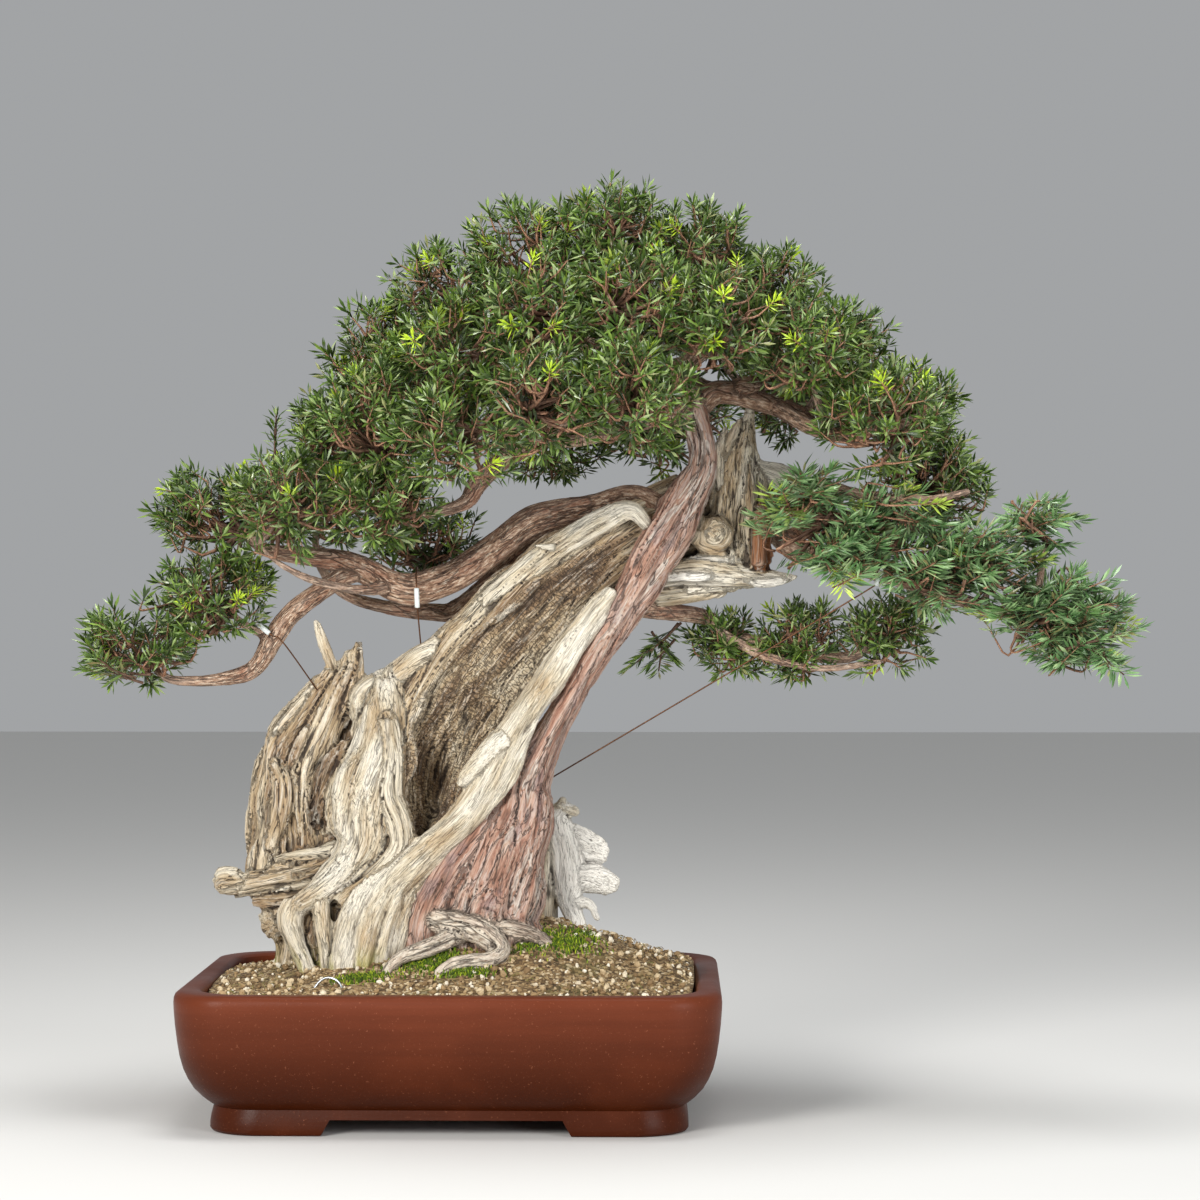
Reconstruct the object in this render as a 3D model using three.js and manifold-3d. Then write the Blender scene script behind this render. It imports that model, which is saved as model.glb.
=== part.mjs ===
// An old japanese yew grown as a bonsai. Its hollow trunk is mostly bare silver wood. One strip of
// living bark climbs the right side of the trunk and feeds a domed crown, a left branch and a long
// low branch to the right. The tree stands in a rounded rectangular clay pot on a footed band.
// Units are millimetres, +Z is up and the front of the tree faces -Y. Everything is placed from the
// middle of the pot's base, and the finished group is then moved so that its origin is the bottom
// centre of the whole tree and pot.
import * as THREE from "three";
import { mergeVertices } from "three/addons/utils/BufferGeometryUtils.js";
import Module from "manifold-3d";

const wasm = await Module();
wasm.setup();

// Driving dimensions of the pot
const POT_WIDTH = 501;
const POT_DEPTH = 398;
const POT_HEIGHT = 130;
const POT_CORNER = 60;
const POT_FLOOR = 34;
const RIM_WIDTH = 24;
const CORNER_STEPS = 4;
const FOOT_HEIGHT = 21;
const FOOT_INSET = 33;
const FOOT_FLARE = 3;
const FOOT_THICKNESS = 18;
const FOOT_ROOT = 4;
const GATE_CLEAR = 15;
const FRONT_GATE = 211;
const SIDE_GATE = 150;
const GATE_CURVE = 10;
const DRAIN_RADIUS = 13;
const DRAIN_OFFSET = 110;

// Driving dimensions of what fills the pot
const SOIL_EDGE = 121;
const MOUND_CENTRE = [35, 5];
const MOUND_HEIGHT = 66;
const MOUND_SPREAD = [175, 105];
const MOUND_RINGS = [0.76, 0.48, 0.2];
const SCREEN_SIZE = 56;
const SCREEN_THICKNESS = 1.6;
const SCREEN_MESH = 2;
const SCREEN_BAR = 3;

// Driving dimensions of the foliage and the wires
const NEEDLE_LENGTH = 23;
const NEEDLE_WIDTH = 2.8;
const NEEDLE_FLATNESS = 0.6;
const NEEDLE_ROOT = 9;
const NEEDLE_LEAN = 0.5;
const NEEDLE_TRIES = 8;
const PAD_NEEDLES = 16;
const PAD_TUFT = 0.16;
const PAD_GAP = 2;
const SPRAY_NEEDLES = 9;
const FIRST_SPRAY_SEED = 101;
const SPRAY_STEM = [5.2, 3, 1.8];
const SPRAY_TWIG = [2.4, 2.2, 1.6];
const WIRE_RADIUS = 0.7;
const SLEEVE_RADIUS = 2.4;
const SLEEVE_STEPS = 3;

// Clear space that touching pieces keep
const GAP = 0.4;

const material = (color, roughness) => new THREE.MeshStandardMaterial({ color, roughness, metalness: 0 });
const CLAY = material(0x70351f, 0.55);
const SOIL = material(0xb39a74, 0.95);
const DEADWOOD = material(0xd8ccb0, 0.8);
const BARK = material(0x8c604b, 0.85);
const CROWN_GREEN = material(0x41692c, 0.5);
const BRANCH_GREEN = material(0x3c7a3f, 0.45);
const COPPER = new THREE.MeshStandardMaterial({ color: 0x5a3a2a, roughness: 0.45, metalness: 0.8 });
const STEEL = new THREE.MeshStandardMaterial({ color: 0x77808a, roughness: 0.4, metalness: 0.8 });
const SLEEVE_PLASTIC = material(0xc9cfc9, 0.4);
const BLACK_PLASTIC = material(0x15171a, 0.5);

// The same draws each time, from one seed
function seededRandom(seed) {
  let state = seed;
  return () => {
    state = (state + 0x6d2b79f5) | 0;
    let mixed = Math.imul(state ^ (state >>> 15), 1 | state);
    mixed = (mixed + Math.imul(mixed ^ (mixed >>> 7), 61 | mixed)) ^ mixed;
    return ((mixed ^ (mixed >>> 14)) >>> 0) / 4294967296;
  };
}

// A closed geometry as a solid that can be joined and cut
function solid(geometry) {
  geometry.deleteAttribute("normal");
  geometry.deleteAttribute("uv");
  const merged = mergeVertices(geometry, 1e-4);
  return new wasm.Manifold(
    new wasm.Mesh({
      numProp: 3,
      vertProperties: merged.attributes.position.array,
      triVerts: new Uint32Array(merged.index.array),
    }),
  );
}

const joined = (solids) => solids.reduce((whole, piece) => whole.add(piece));

// The largest closed body of a solid, without loose scraps or sealed hollows
function mainBody(shape) {
  const bodies = shape.decompose();
  return bodies.reduce((best, body) => (body.volume() > best.volume() ? body : best));
}

// A solid as a named mesh
function piece(name, shape, finish) {
  const data = shape.getMesh();
  const geometry = new THREE.BufferGeometry();
  geometry.setAttribute("position", new THREE.BufferAttribute(data.vertProperties, 3));
  geometry.setIndex(new THREE.BufferAttribute(data.triVerts, 1));
  geometry.computeVertexNormals();
  const mesh = new THREE.Mesh(geometry, finish);
  mesh.name = name;
  return mesh;
}

// A closed solid from a stack of rings with the same number of points, with flat ends
function loft(rings) {
  const count = rings[0].length;
  const positions = rings.flat(2);
  const middleOf = (ring) => [0, 1, 2].map((axis) => ring.reduce((sum, p) => sum + p[axis], 0) / count);
  const firstMiddle = rings.length * count;
  const lastMiddle = firstMiddle + 1;
  positions.push(...middleOf(rings[0]), ...middleOf(rings.at(-1)));
  const index = [];
  for (let i = 0; i < count; i += 1) {
    const next = (i + 1) % count;
    index.push(firstMiddle, next, i);
    index.push(lastMiddle, firstMiddle - count + i, firstMiddle - count + next);
    for (let row = 0; row < rings.length - 1; row += 1) {
      const low = row * count;
      const high = low + count;
      index.push(low + i, low + next, high + i);
      index.push(low + next, high + next, high + i);
    }
  }
  const geometry = new THREE.BufferGeometry();
  geometry.setAttribute("position", new THREE.BufferAttribute(new Float32Array(positions), 3));
  geometry.setIndex(index);
  return solid(geometry);
}

// A closed limb: a cylinder bent along a smooth curve. Each point is [x, y, z, half width, half depth],
// and the half depth is left out where the limb is round. flute pulls every second edge inwards, and
// grow makes a larger copy, which cuts the hole that the limb stands in.
function limb(points, { sides = 6, flute = 0, grow = 0 } = {}) {
  const steps = points.length - 1;
  const path = new THREE.CatmullRomCurve3(points.map(([x, y, z]) => new THREE.Vector3(x, y, z)));
  const rings = [];
  let side = new THREE.Vector3(0, 1, 0);
  for (let row = 0; row <= steps; row += 1) {
    const along = path.getTangent(row / steps);
    if (row === 0) side.crossVectors(along, side);
    side = side.addScaledVector(along, -side.dot(along)).normalize();
    const centre = path.getPoint(row / steps);
    if (row === 0) centre.addScaledVector(along, -grow);
    if (row === steps) centre.addScaledVector(along, grow);
    const [, , , width, depth = width] = points[row];
    rings.push({
      centre,
      side: side.clone().multiplyScalar(width + grow),
      deep: new THREE.Vector3().crossVectors(along, side).multiplyScalar(depth + grow),
    });
  }
  const geometry = new THREE.CylinderGeometry(1, 1, 1, sides, steps);
  const position = geometry.attributes.position;
  const moved = new THREE.Vector3();
  for (let i = 0; i < position.count; i += 1) {
    const [x, y, z] = [position.getX(i), position.getY(i), position.getZ(i)];
    const edge = Math.round((Math.atan2(z, x) / (2 * Math.PI)) * sides);
    const reach = edge % 2 === 0 ? 1 : 1 - flute;
    const ring = rings[Math.round((0.5 - y) * steps)];
    moved.copy(ring.centre).addScaledVector(ring.side, x * reach).addScaledVector(ring.deep, z * reach);
    position.setXYZ(i, moved.x, moved.y, moved.z);
  }
  return solid(geometry);
}

// A lump such as a knot in the wood
function lump([x, y, z], [halfWidth, halfDepth, halfHeight], grow = 0) {
  const geometry = new THREE.OctahedronGeometry(1, 1);
  geometry.scale(halfWidth + grow, halfDepth + grow, halfHeight + grow);
  geometry.translate(x, y, z);
  return solid(geometry);
}

// A straight round rod between two points
function rod(start, end, radius, sides) {
  return limb([[...start, radius], [...end, radius]], { sides });
}

// The pot: outline and profile

function potOutline(inset, height) {
  const radius = Math.max(POT_CORNER - inset, 12);
  const halfWidth = POT_WIDTH / 2 - inset - radius;
  const halfDepth = POT_DEPTH / 2 - inset - radius;
  const points = [];
  for (let corner = 0; corner < 4; corner += 1) {
    const signX = corner === 0 || corner === 3 ? 1 : -1;
    const signY = corner < 2 ? 1 : -1;
    for (let i = 0; i <= CORNER_STEPS; i += 1) {
      const angle = ((corner + i / CORNER_STEPS) * Math.PI) / 2;
      points.push([
        signX * halfWidth + radius * Math.cos(angle),
        signY * halfDepth + radius * Math.sin(angle),
        height,
      ]);
    }
  }
  return points;
}

// Distance in from the widest outline, and height, from the underside over the rim to the floor
const OUTSIDE_PROFILE = [
  [40, FOOT_HEIGHT],
  [30, 26.5],
  [17, 39],
  [8, 58],
  [3, 84],
  [0, 120],
  [2, 127.5],
  [6, POT_HEIGHT],
];
const INSIDE_PROFILE = [
  [RIM_WIDTH - 2, POT_HEIGHT],
  [RIM_WIDTH + 1, 126],
  [RIM_WIDTH + 3, 80],
  [46, 44],
  [62, POT_FLOOR],
];
// The level between the rim's lip and the floor at which the soil meets the wall
const SOIL_WALL_INSET = RIM_WIDTH + 1.2;

function gate(width, length) {
  const half = width / 2;
  const shape = new THREE.Shape();
  shape.moveTo(-half, -1);
  shape.lineTo(half, -1);
  shape.lineTo(half, 1);
  shape.quadraticCurveTo(half - GATE_CURVE, 2, half - GATE_CURVE, GATE_CLEAR);
  shape.lineTo(GATE_CURVE - half, GATE_CLEAR);
  shape.quadraticCurveTo(GATE_CURVE - half, 2, -half, 1);
  shape.closePath();
  const geometry = new THREE.ExtrudeGeometry(shape, { depth: length, bevelEnabled: false, curveSegments: 4 });
  geometry.translate(0, 0, -length / 2);
  geometry.rotateX(Math.PI / 2);
  return geometry;
}

function makePot() {
  const body = loft([...OUTSIDE_PROFILE, ...INSIDE_PROFILE].map(([inset, height]) => potOutline(inset, height)));
  const bandTop = FOOT_HEIGHT + FOOT_ROOT;
  const band = loft([potOutline(FOOT_INSET - FOOT_FLARE, 0), potOutline(FOOT_INSET + 8, bandTop)]);
  const inner = loft([
    potOutline(FOOT_INSET + FOOT_THICKNESS, -1),
    potOutline(FOOT_INSET + FOOT_THICKNESS, bandTop + 1),
  ]);
  const frontGate = solid(gate(FRONT_GATE, POT_DEPTH));
  const sideGate = solid(gate(SIDE_GATE, POT_WIDTH).rotateZ(Math.PI / 2));
  let pot = body.add(band.subtract(inner).subtract(frontGate).subtract(sideGate));
  for (const sign of [-1, 1]) {
    const x = sign * DRAIN_OFFSET;
    pot = pot.subtract(rod([x, 0, FOOT_HEIGHT - 5], [x, 0, POT_FLOOR + 5], DRAIN_RADIUS, 8));
  }
  return pot;
}

// A square of plastic netting that lies over a drain hole: crossed bars joined in one piece
function makeScreen(x) {
  const pitch = (SCREEN_SIZE - SCREEN_BAR) / SCREEN_MESH;
  const bars = [];
  for (let i = 0; i <= SCREEN_MESH; i += 1) {
    const across = i * pitch - (SCREEN_SIZE - SCREEN_BAR) / 2;
    const middle = POT_FLOOR + GAP + SCREEN_THICKNESS / 2;
    const along = new THREE.BoxGeometry(SCREEN_SIZE, SCREEN_BAR, SCREEN_THICKNESS);
    const crossways = new THREE.BoxGeometry(SCREEN_BAR, SCREEN_SIZE, SCREEN_THICKNESS);
    bars.push(solid(along.translate(x, across, middle)));
    bars.push(solid(crossways.translate(x + across, 0, middle)));
  }
  return joined(bars);
}

function screenRecess(x) {
  const side = SCREEN_SIZE + 2 * GAP;
  const geometry = new THREE.BoxGeometry(side, side, SCREEN_THICKNESS + 4 * GAP);
  geometry.translate(x, 0, POT_FLOOR + GAP + SCREEN_THICKNESS / 2);
  return solid(geometry);
}

// The soil: it fills the pot and rises to a mound under the trunk

function soilHeight(x, y) {
  const dx = (x - MOUND_CENTRE[0]) / MOUND_SPREAD[0];
  const dy = (y - MOUND_CENTRE[1]) / MOUND_SPREAD[1];
  return SOIL_EDGE + MOUND_HEIGHT * Math.exp(-(dx * dx + dy * dy));
}

function makeSoil() {
  const wall = INSIDE_PROFILE.slice(2).reverse();
  const rings = wall.map(([inset, height], i) => potOutline(inset + GAP, height + (i === 0 ? GAP : 0)));
  const shore = potOutline(SOIL_WALL_INSET + GAP, SOIL_EDGE);
  rings.push(shore);
  for (const share of MOUND_RINGS) {
    rings.push(
      shore.map(([edgeX, edgeY]) => {
        const x = MOUND_CENTRE[0] + (edgeX - MOUND_CENTRE[0]) * share;
        const y = MOUND_CENTRE[1] + (edgeY - MOUND_CENTRE[1]) * share;
        return [x, y, soilHeight(x, y)];
      }),
    );
  }
  return loft(rings);
}

// The bare wood, each strand with its own points

const TRUNK = [
  [-20, 5, 120, 82, 56],
  [-22, 5, 190, 80, 58],
  [-24, 8, 260, 76, 55],
  [-16, 10, 335, 72, 49],
  [16, 12, 405, 65, 43],
  [64, 14, 465, 54, 37],
  [114, 16, 513, 43, 31],
  [166, 18, 552, 32, 26],
  [222, 20, 585, 26, 22],
];
const HOLLOW = [
  [188, -34, 552, 9, 14],
  [150, -36, 536, 22, 24],
  [112, -38, 500, 32, 30],
  [72, -40, 455, 38, 34],
  [34, -42, 408, 46, 40],
  [2, -42, 362, 46, 46],
  [-20, -42, 322, 33, 52],
  [-30, -46, 285, 22, 44],
  [-36, -50, 262, 9, 26],
];
const LEFT_RIM = [
  [182, -18, 556, 6, 8],
  [166, -22, 572, 8, 9],
  [140, -21, 562, 10, 10],
  [84, -18, 531, 10, 12],
  [12, -12, 464, 10, 12],
  [-12, -10, 448, 12, 12],
  [-62, -6, 412, 9, 12],
  [-88, -4, 394, 12, 12],
  [-96, -8, 358, 4, 4],
];
const LEFT_FLANK = [
  [-66, -2, 408, 16, 18],
  [-68, -10, 370, 26, 26],
  [-86, -26, 303, 36, 30],
  [-92, -36, 254, 26, 22],
  [-106, -40, 230, 20, 18],
  [-126, -42, 213, 15, 15],
  [-148, -44, 199, 11, 12],
];
const INNER_RIDGE = [
  [-64, -30, 372, 11, 10],
  [-62, -40, 302, 13, 13],
  [-52, -42, 276, 13, 13],
  [-50, -44, 254, 14, 13],
  [-84, -46, 217, 12, 12],
  [-106, -44, 202, 11, 12],
];
const RIBBON = [
  [150, -28, 494, 7, 8],
  [92, -39, 413, 14, 11],
  [61, -44, 366, 17, 13],
  [48, -45, 345, 19, 14],
  [30, -47, 310, 17, 14],
  [-22, -48, 252, 17, 14],
  [-54, -50, 222, 21, 16],
  [-78, -54, 166, 33, 20],
  [-90, -58, 112, 29, 17],
];
const RIBBON_HOOK = [
  [46, -48, 352, 15, 12],
  [28, -52, 336, 12, 8],
  [13, -54, 322, 8, 6],
  [5, -54, 312, 4, 4],
];
const FRONT_LEGS = [
  [
    [-150, -44, 201, 10, 11],
    [-155, -47, 184, 11, 11],
    [-148, -50, 162, 9, 10],
    [-139, -53, 140, 8, 9],
    [-134, -55, 112, 8, 8],
  ],
  [
    [-126, -42, 208, 12, 12],
    [-124, -48, 180, 10, 11],
    [-120, -52, 152, 9, 10],
    [-116, -56, 112, 9, 9],
  ],
];
const STUMP_LEFT = [
  [-119, 8, 418, 8, 8],
  [-138, 8, 388, 15, 14],
  [-167, 8, 340, 22, 20],
  [-176, 9, 286, 23, 23],
  [-184, 8, 220, 19, 19],
];
const STUMP_RIGHT = [
  [-97, 4, 447, 3, 4],
  [-100, 4, 424, 9, 9],
  [-112, 5, 398, 14, 13],
  [-132, 6, 348, 19, 17],
  [-146, 7, 310, 23, 22],
  [-146, 10, 258, 27, 28],
  [-148, 10, 190, 31, 31],
  [-152, 6, 114, 28, 28],
];
const STUMP_SPIKES = [
  [
    [-106, 4, 437, 3, 4],
    [-109, 4, 418, 7, 7],
    [-116, 5, 392, 8, 8],
  ],
  [
    [-136, 2, 466, 3, 1.6],
    [-126, 3, 437, 7, 3],
    [-119, 4, 418, 6, 4],
    [-113, 5, 398, 6, 6],
  ],
];
const STUMP_BRIDGE = [
  [-84, 14, 384, 7, 9],
  [-106, 14, 372, 11, 12],
  [-112, 16, 345, 11, 16],
  [-104, 18, 318, 26, 24],
  [-110, 18, 284, 32, 28],
  [-116, 14, 114, 34, 32],
];
const LEFT_JIN = [
  [-222, -4, 212, 6, 7],
  [-212, -5, 213, 12, 12],
  [-162, -10, 222, 12, 12],
  [-106, -14, 236, 14, 14],
];
const LEFT_JIN_STRAND = [
  [-168, -14, 242, 2.5, 4],
  [-150, -16, 243, 4, 5],
  [-98, -20, 253, 8, 8],
];
const RIGHT_JINS = [
  [
    [106, 22, 290, 5, 6],
    [94, 23, 278, 12, 10],
    [101, 24, 246, 19, 12],
    [106, 20, 194, 9, 9],
    [121, 10, 130, 8, 8],
  ],
  [
    [96, 23, 288, 9, 9],
    [115, 23, 281, 4, 5],
  ],
  [
    [100, 24, 262, 12, 9],
    [122, 24, 250, 9, 7],
    [140, 24, 243, 2.5, 3],
  ],
  [
    [104, 24, 220, 15, 10],
    [126, 24, 216, 14, 7],
    [150, 24, 212, 4, 4],
  ],
  [
    [108, 20, 194, 7, 7],
    [125, 18, 194, 5, 5],
    [134, 17, 179, 2.5, 2.5],
  ],
];
// Heartwood behind the living strip, which carries the upper block and the right flank
const HEARTWOOD = [
  [112, 26, 500, 28, 22],
  [165, 31, 528, 24, 22],
  [212, 35, 542, 22, 19],
  [256, 28, 548, 22, 19],
];
const RIGHT_FLANK = [
  [62, 36, 116, 32, 28],
  [66, 36, 200, 30, 26],
  [72, 32, 262, 24, 22],
  [62, 28, 318, 14, 16],
];
const UPPER_BLOCK = [
  [262, 22, 500, 26, 14],
  [262, 22, 525, 34, 20],
  [265, 22, 552, 31, 20],
  [268, 20, 584, 25, 18],
  [272, 16, 632, 13, 11],
  [277, 15, 652, 8, 7],
  [281, 14, 678, 1.5, 1.5],
];
const UPPER_LOG = [
  [190, 14, 508, 12, 16],
  [260, 8, 511, 12, 13],
  [290, 7, 508, 9, 10],
  [310, 7, 507, 6, 7],
  [324, 7, 508, 2, 2.5],
];
const UPPER_LOG_BACK = [
  [188, 18, 490, 12, 14],
  [250, 16, 498, 8, 10],
  [274, 14, 501, 3, 5],
];
const UPPER_SPIKE = [
  [253, 16, 596, 10, 9],
  [251, 15, 624, 7, 6],
  [256, 14, 653, 1.5, 1.5],
];
const UPPER_PLANK = [
  [284, 16, 612, 9, 6],
  [304, 15, 606, 14, 5],
  [322, 14, 598, 13, 5],
  [337, 13, 588, 10, 4],
  [346, 12, 572, 3, 2.5],
];
const UPPER_POST = [
  [290, 4, 520, 11, 10],
  [290, 6, 574, 6, 7],
];
const UPPER_SLOT = [
  [270, -6, 592, 5, 12],
  [270, -6, 560, 8, 16],
  [268, -6, 532, 6, 12],
];
const TRUNK_TWIG = [
  [92, -18, 536, 3],
  [73, -20, 538, 1.2],
];

const KNOTS = [
  { at: [246, 2, 548], size: [23, 20, 23] },
  { at: [-168, 0, 180], size: [24, 24, 27] },
  { at: [-121, -6, 268], size: [14, 14, 14] },
  { at: [-140, -4, 284], size: [13, 13, 13] },
];

function makeDeadwood(grow) {
  const round = { sides: 6, grow };
  const slim = { sides: 5, grow };
  const thin = { sides: 4, grow };
  const trunk = limb(TRUNK, { sides: 10, flute: 0.05, grow }).subtract(limb(HOLLOW, { sides: 7, grow: -grow }));
  const upper = limb(UPPER_BLOCK, { sides: 8, flute: 0.08, grow }).subtract(
    limb(UPPER_SLOT, { sides: 5, grow: -grow }),
  );
  return joined([
    trunk,
    upper,
    limb(HEARTWOOD, round),
    limb(RIGHT_FLANK, round),
    limb(LEFT_RIM, slim),
    limb(LEFT_FLANK, round),
    limb(INNER_RIDGE, slim),
    limb(RIBBON, round),
    limb(RIBBON_HOOK, slim),
    ...FRONT_LEGS.map((leg) => limb(leg, thin)),
    limb(STUMP_LEFT, { sides: 6, flute: 0.1, grow }),
    limb(STUMP_RIGHT, { sides: 6, flute: 0.1, grow }),
    ...STUMP_SPIKES.map((spike) => limb(spike, thin)),
    limb(STUMP_BRIDGE, round),
    limb(LEFT_JIN, { sides: 6, flute: 0.1, grow }),
    limb(LEFT_JIN_STRAND, thin),
    ...RIGHT_JINS.map((jin) => limb(jin, thin)),
    limb(UPPER_LOG, { sides: 6, flute: 0.1, grow }),
    limb(UPPER_LOG_BACK, slim),
    limb(UPPER_SPIKE, slim),
    limb(UPPER_PLANK, thin),
    limb(UPPER_POST, slim),
    limb(TRUNK_TWIG, thin),
    ...KNOTS.map(({ at, size }) => lump(at, size, grow)),
  ]);
}

// The living wood: bark strip, crown trunk, roots and branches

const VEIN = [
  [32, -28, 120, 76, 42],
  [28, -28, 184, 67, 40],
  [38, -26, 216, 56, 38],
  [63, -21, 284, 32, 32],
  [68, -18, 312, 23, 27],
  [92, -18, 366, 15, 22],
  [127, -18, 426, 14, 20],
  [160, -18, 481, 17, 21],
  [190, -16, 531, 25, 22],
  [222, -6, 586, 19, 20],
  [234, 0, 616, 15, 17],
  [232, 4, 646, 14, 15],
  [220, 6, 678, 14, 14],
  [196, 8, 706, 13, 13],
  [168, 10, 730, 12, 12],
  [146, 12, 758, 10, 10],
  [140, 10, 796, 5, 5],
];
const ROOTS = [
  [
    [-8, -56, 176, 16, 10],
    [14, -68, 165, 10, 9],
    [40, -76, 151, 7, 7],
    [54, -80, 136, 5, 6],
  ],
  [
    [-22, -94, 128, 6, 6],
    [-8, -86, 146, 8, 8],
    [18, -78, 155, 8, 8],
    [40, -58, 154, 9, 9],
  ],
];
const LEFT_MAIN = [
  [206, -2, 570, 12],
  [172, 22, 584, 14],
  [136, 32, 576, 15],
  [76, 28, 562, 16],
  [40, 20, 538, 15],
  [2, 12, 512, 15],
  [-34, 5, 497, 16],
  [-60, 0, 498, 15],
  [-107, 0, 522, 11],
  [-176, -8, 532, 7],
  [-205, -4, 548, 4],
];
const LEFT_LOW = [
  [-84, 0, 514, 9],
  [-112, -2, 506, 10],
  [-154, -6, 478, 10],
  [-176, -8, 450, 11],
  [-202, -10, 416, 8],
  [-268, -14, 410, 5],
  [-296, -15, 430, 3],
];
const LEFT_UPPER = [
  [224, 6, 668, 12],
  [138, 4, 678, 12],
  [84, 0, 650, 11],
  [24, -14, 602, 9],
  [4, -22, 576, 7],
  [-56, -74, 560, 3],
];
const LEFT_BACK = [
  [82, 30, 560, 12],
  [58, 46, 530, 11],
  [0, 64, 480, 9],
  [-30, 67, 474, 8],
  [-106, 64, 488, 6],
  [-138, 68, 520, 5],
  [-146, 76, 566, 2.5],
];
const RIGHT_LOW = [
  [230, 4, 604, 12],
  [252, 48, 602, 12],
  [286, 62, 576, 12],
  [312, 40, 546, 12],
  [336, -6, 530, 11],
  [400, -48, 512, 9],
  [514, -58, 474, 6],
  [562, -61, 464, 2.5],
];
const RIGHT_UNDER = [
  [162, -12, 482, 11],
  [184, 18, 477, 10],
  [240, 62, 468, 8],
  [272, 64, 448, 8],
  [372, 60, 430, 6],
  [404, 58, 452, 2.5],
];
const RIGHT_UPPER = [
  [226, 6, 664, 11],
  [250, 12, 684, 12],
  [302, 8, 672, 10],
  [374, 0, 641, 7],
  [408, 0, 656, 2.5],
];
const RIGHT_MIDDLE = [
  [252, 48, 602, 10],
  [296, 56, 592, 8],
  [380, 8, 560, 7],
  [442, -5, 594, 2.5],
];
const MAIN_LIMBS = [
  LEFT_MAIN,
  LEFT_LOW,
  LEFT_UPPER,
  LEFT_BACK,
  RIGHT_LOW,
  RIGHT_UNDER,
  RIGHT_UPPER,
  RIGHT_MIDDLE,
];

// The foliage: one pad on each branch end. Each is a middle and the half sizes of its dense part, and
// the needles stand out about 20 mm past that. from says which point of the vein the pad's limb
// leaves, and grown marks a pad that a limb listed above already reaches.

const CROWN_PADS = [
  { at: [-68, 0, 708], size: [58, 54, 54], from: 13 },
  { at: [-6, 4, 768], size: [56, 54, 52], from: 14 },
  { at: [68, 0, 806], size: [56, 54, 52], from: 15 },
  { at: [148, 0, 826], size: [56, 56, 52], from: 15 },
  { at: [228, 0, 806], size: [54, 54, 50], from: 15 },
  { at: [294, 4, 764], size: [54, 54, 50], from: 13 },
  { at: [356, 0, 714], size: [54, 54, 50] },
  { at: [418, 0, 662], size: [54, 54, 48], grown: true },
  { at: [450, -6, 596], size: [48, 48, 42], grown: true },
  { at: [-66, -98, 648], size: [54, 48, 48] },
  { at: [8, -102, 710], size: [54, 50, 50], from: 13 },
  { at: [88, -126, 746], size: [54, 50, 50], from: 14 },
  { at: [170, -128, 756], size: [54, 50, 50] },
  { at: [248, -120, 742], size: [52, 50, 48], from: 13 },
  { at: [324, -104, 716], size: [52, 48, 44] },
  { at: [398, -84, 652], size: [52, 46, 46] },
  { at: [8, -158, 636], size: [52, 44, 42], from: 12 },
  { at: [88, -182, 664], size: [52, 46, 46] },
  { at: [168, -184, 666], size: [52, 46, 46], from: 12 },
  { at: [-52, 98, 668], size: [58, 52, 50] },
  { at: [30, 118, 732], size: [60, 52, 52], from: 13 },
  { at: [130, 130, 762], size: [60, 52, 52], from: 14 },
  { at: [232, 126, 748], size: [60, 52, 50] },
  { at: [328, 106, 696], size: [58, 52, 48], from: 13 },
  { at: [80, 192, 660], size: [62, 50, 48] },
  { at: [196, 192, 662], size: [62, 50, 48], from: 12 },
  { at: [-104, -4, 644], size: [50, 48, 42] },
];
const LEFT_PADS = [
  { at: [-222, 0, 566], size: [62, 56, 42] },
  { at: [-150, -76, 576], size: [54, 50, 44] },
  { at: [-146, 78, 582], size: [54, 50, 44], grown: true },
  { at: [-68, -96, 574], size: [50, 46, 34] },
  { at: [-236, -10, 488], size: [54, 50, 38] },
  { at: [-304, -16, 442], size: [46, 44, 30], grown: true },
  { at: [-34, 86, 540], size: [50, 42, 36] },
];
const RIGHT_PADS = [
  { at: [340, -58, 562], size: [48, 46, 38] },
  { at: [424, -56, 544], size: [50, 46, 38] },
  { at: [506, -62, 514], size: [50, 46, 38] },
  { at: [586, -62, 468], size: [48, 46, 36], grown: true },
  { at: [556, -50, 552], size: [30, 28, 20] },
];
const UNDER_PADS = [
  { at: [262, 70, 442], size: [36, 36, 24] },
  { at: [328, 68, 444], size: [46, 38, 28] },
  { at: [408, 58, 454], size: [46, 38, 30], grown: true },
];

const PADS = [
  ...CROWN_PADS.map((pad) => ({ ...pad, group: "crown", finish: CROWN_GREEN })),
  ...LEFT_PADS.map((pad) => ({ ...pad, group: "left", finish: CROWN_GREEN })),
  ...RIGHT_PADS.map((pad) => ({ ...pad, group: "right", finish: BRANCH_GREEN })),
  ...UNDER_PADS.map((pad) => ({ ...pad, group: "under", finish: CROWN_GREEN })),
];

// Slim sprays: a thin stem and a side stem, with needles in two ranks along both
const SPRAYS = [
  {
    name: "spray_left_tip",
    finish: CROWN_GREEN,
    stem: [[-286, -46, 416], [-314, -56, 412], [-346, -60, 420]],
    twig: [[-308, -54, 412], [-318, -68, 418], [-330, -88, 432]],
  },
  {
    name: "spray_right_tip",
    finish: BRANCH_GREEN,
    stem: [[566, -96, 440], [598, -110, 444], [632, -116, 460]],
    twig: [[590, -106, 443], [604, -118, 432], [616, -136, 418]],
  },
  {
    name: "spray_under_trunk",
    finish: CROWN_GREEN,
    stem: [[214, 62, 464], [190, 70, 444], [164, 72, 420]],
    twig: [[196, 70, 447], [194, 84, 432], [192, 102, 416]],
  },
];

// Distance from a pad's middle to the edge of its dense part in one direction
function padReach({ size }, direction) {
  const [x, y, z] = size.map((half, axis) => direction.getComponent(axis) / half);
  return 1 / Math.hypot(x, y, z);
}

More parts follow.
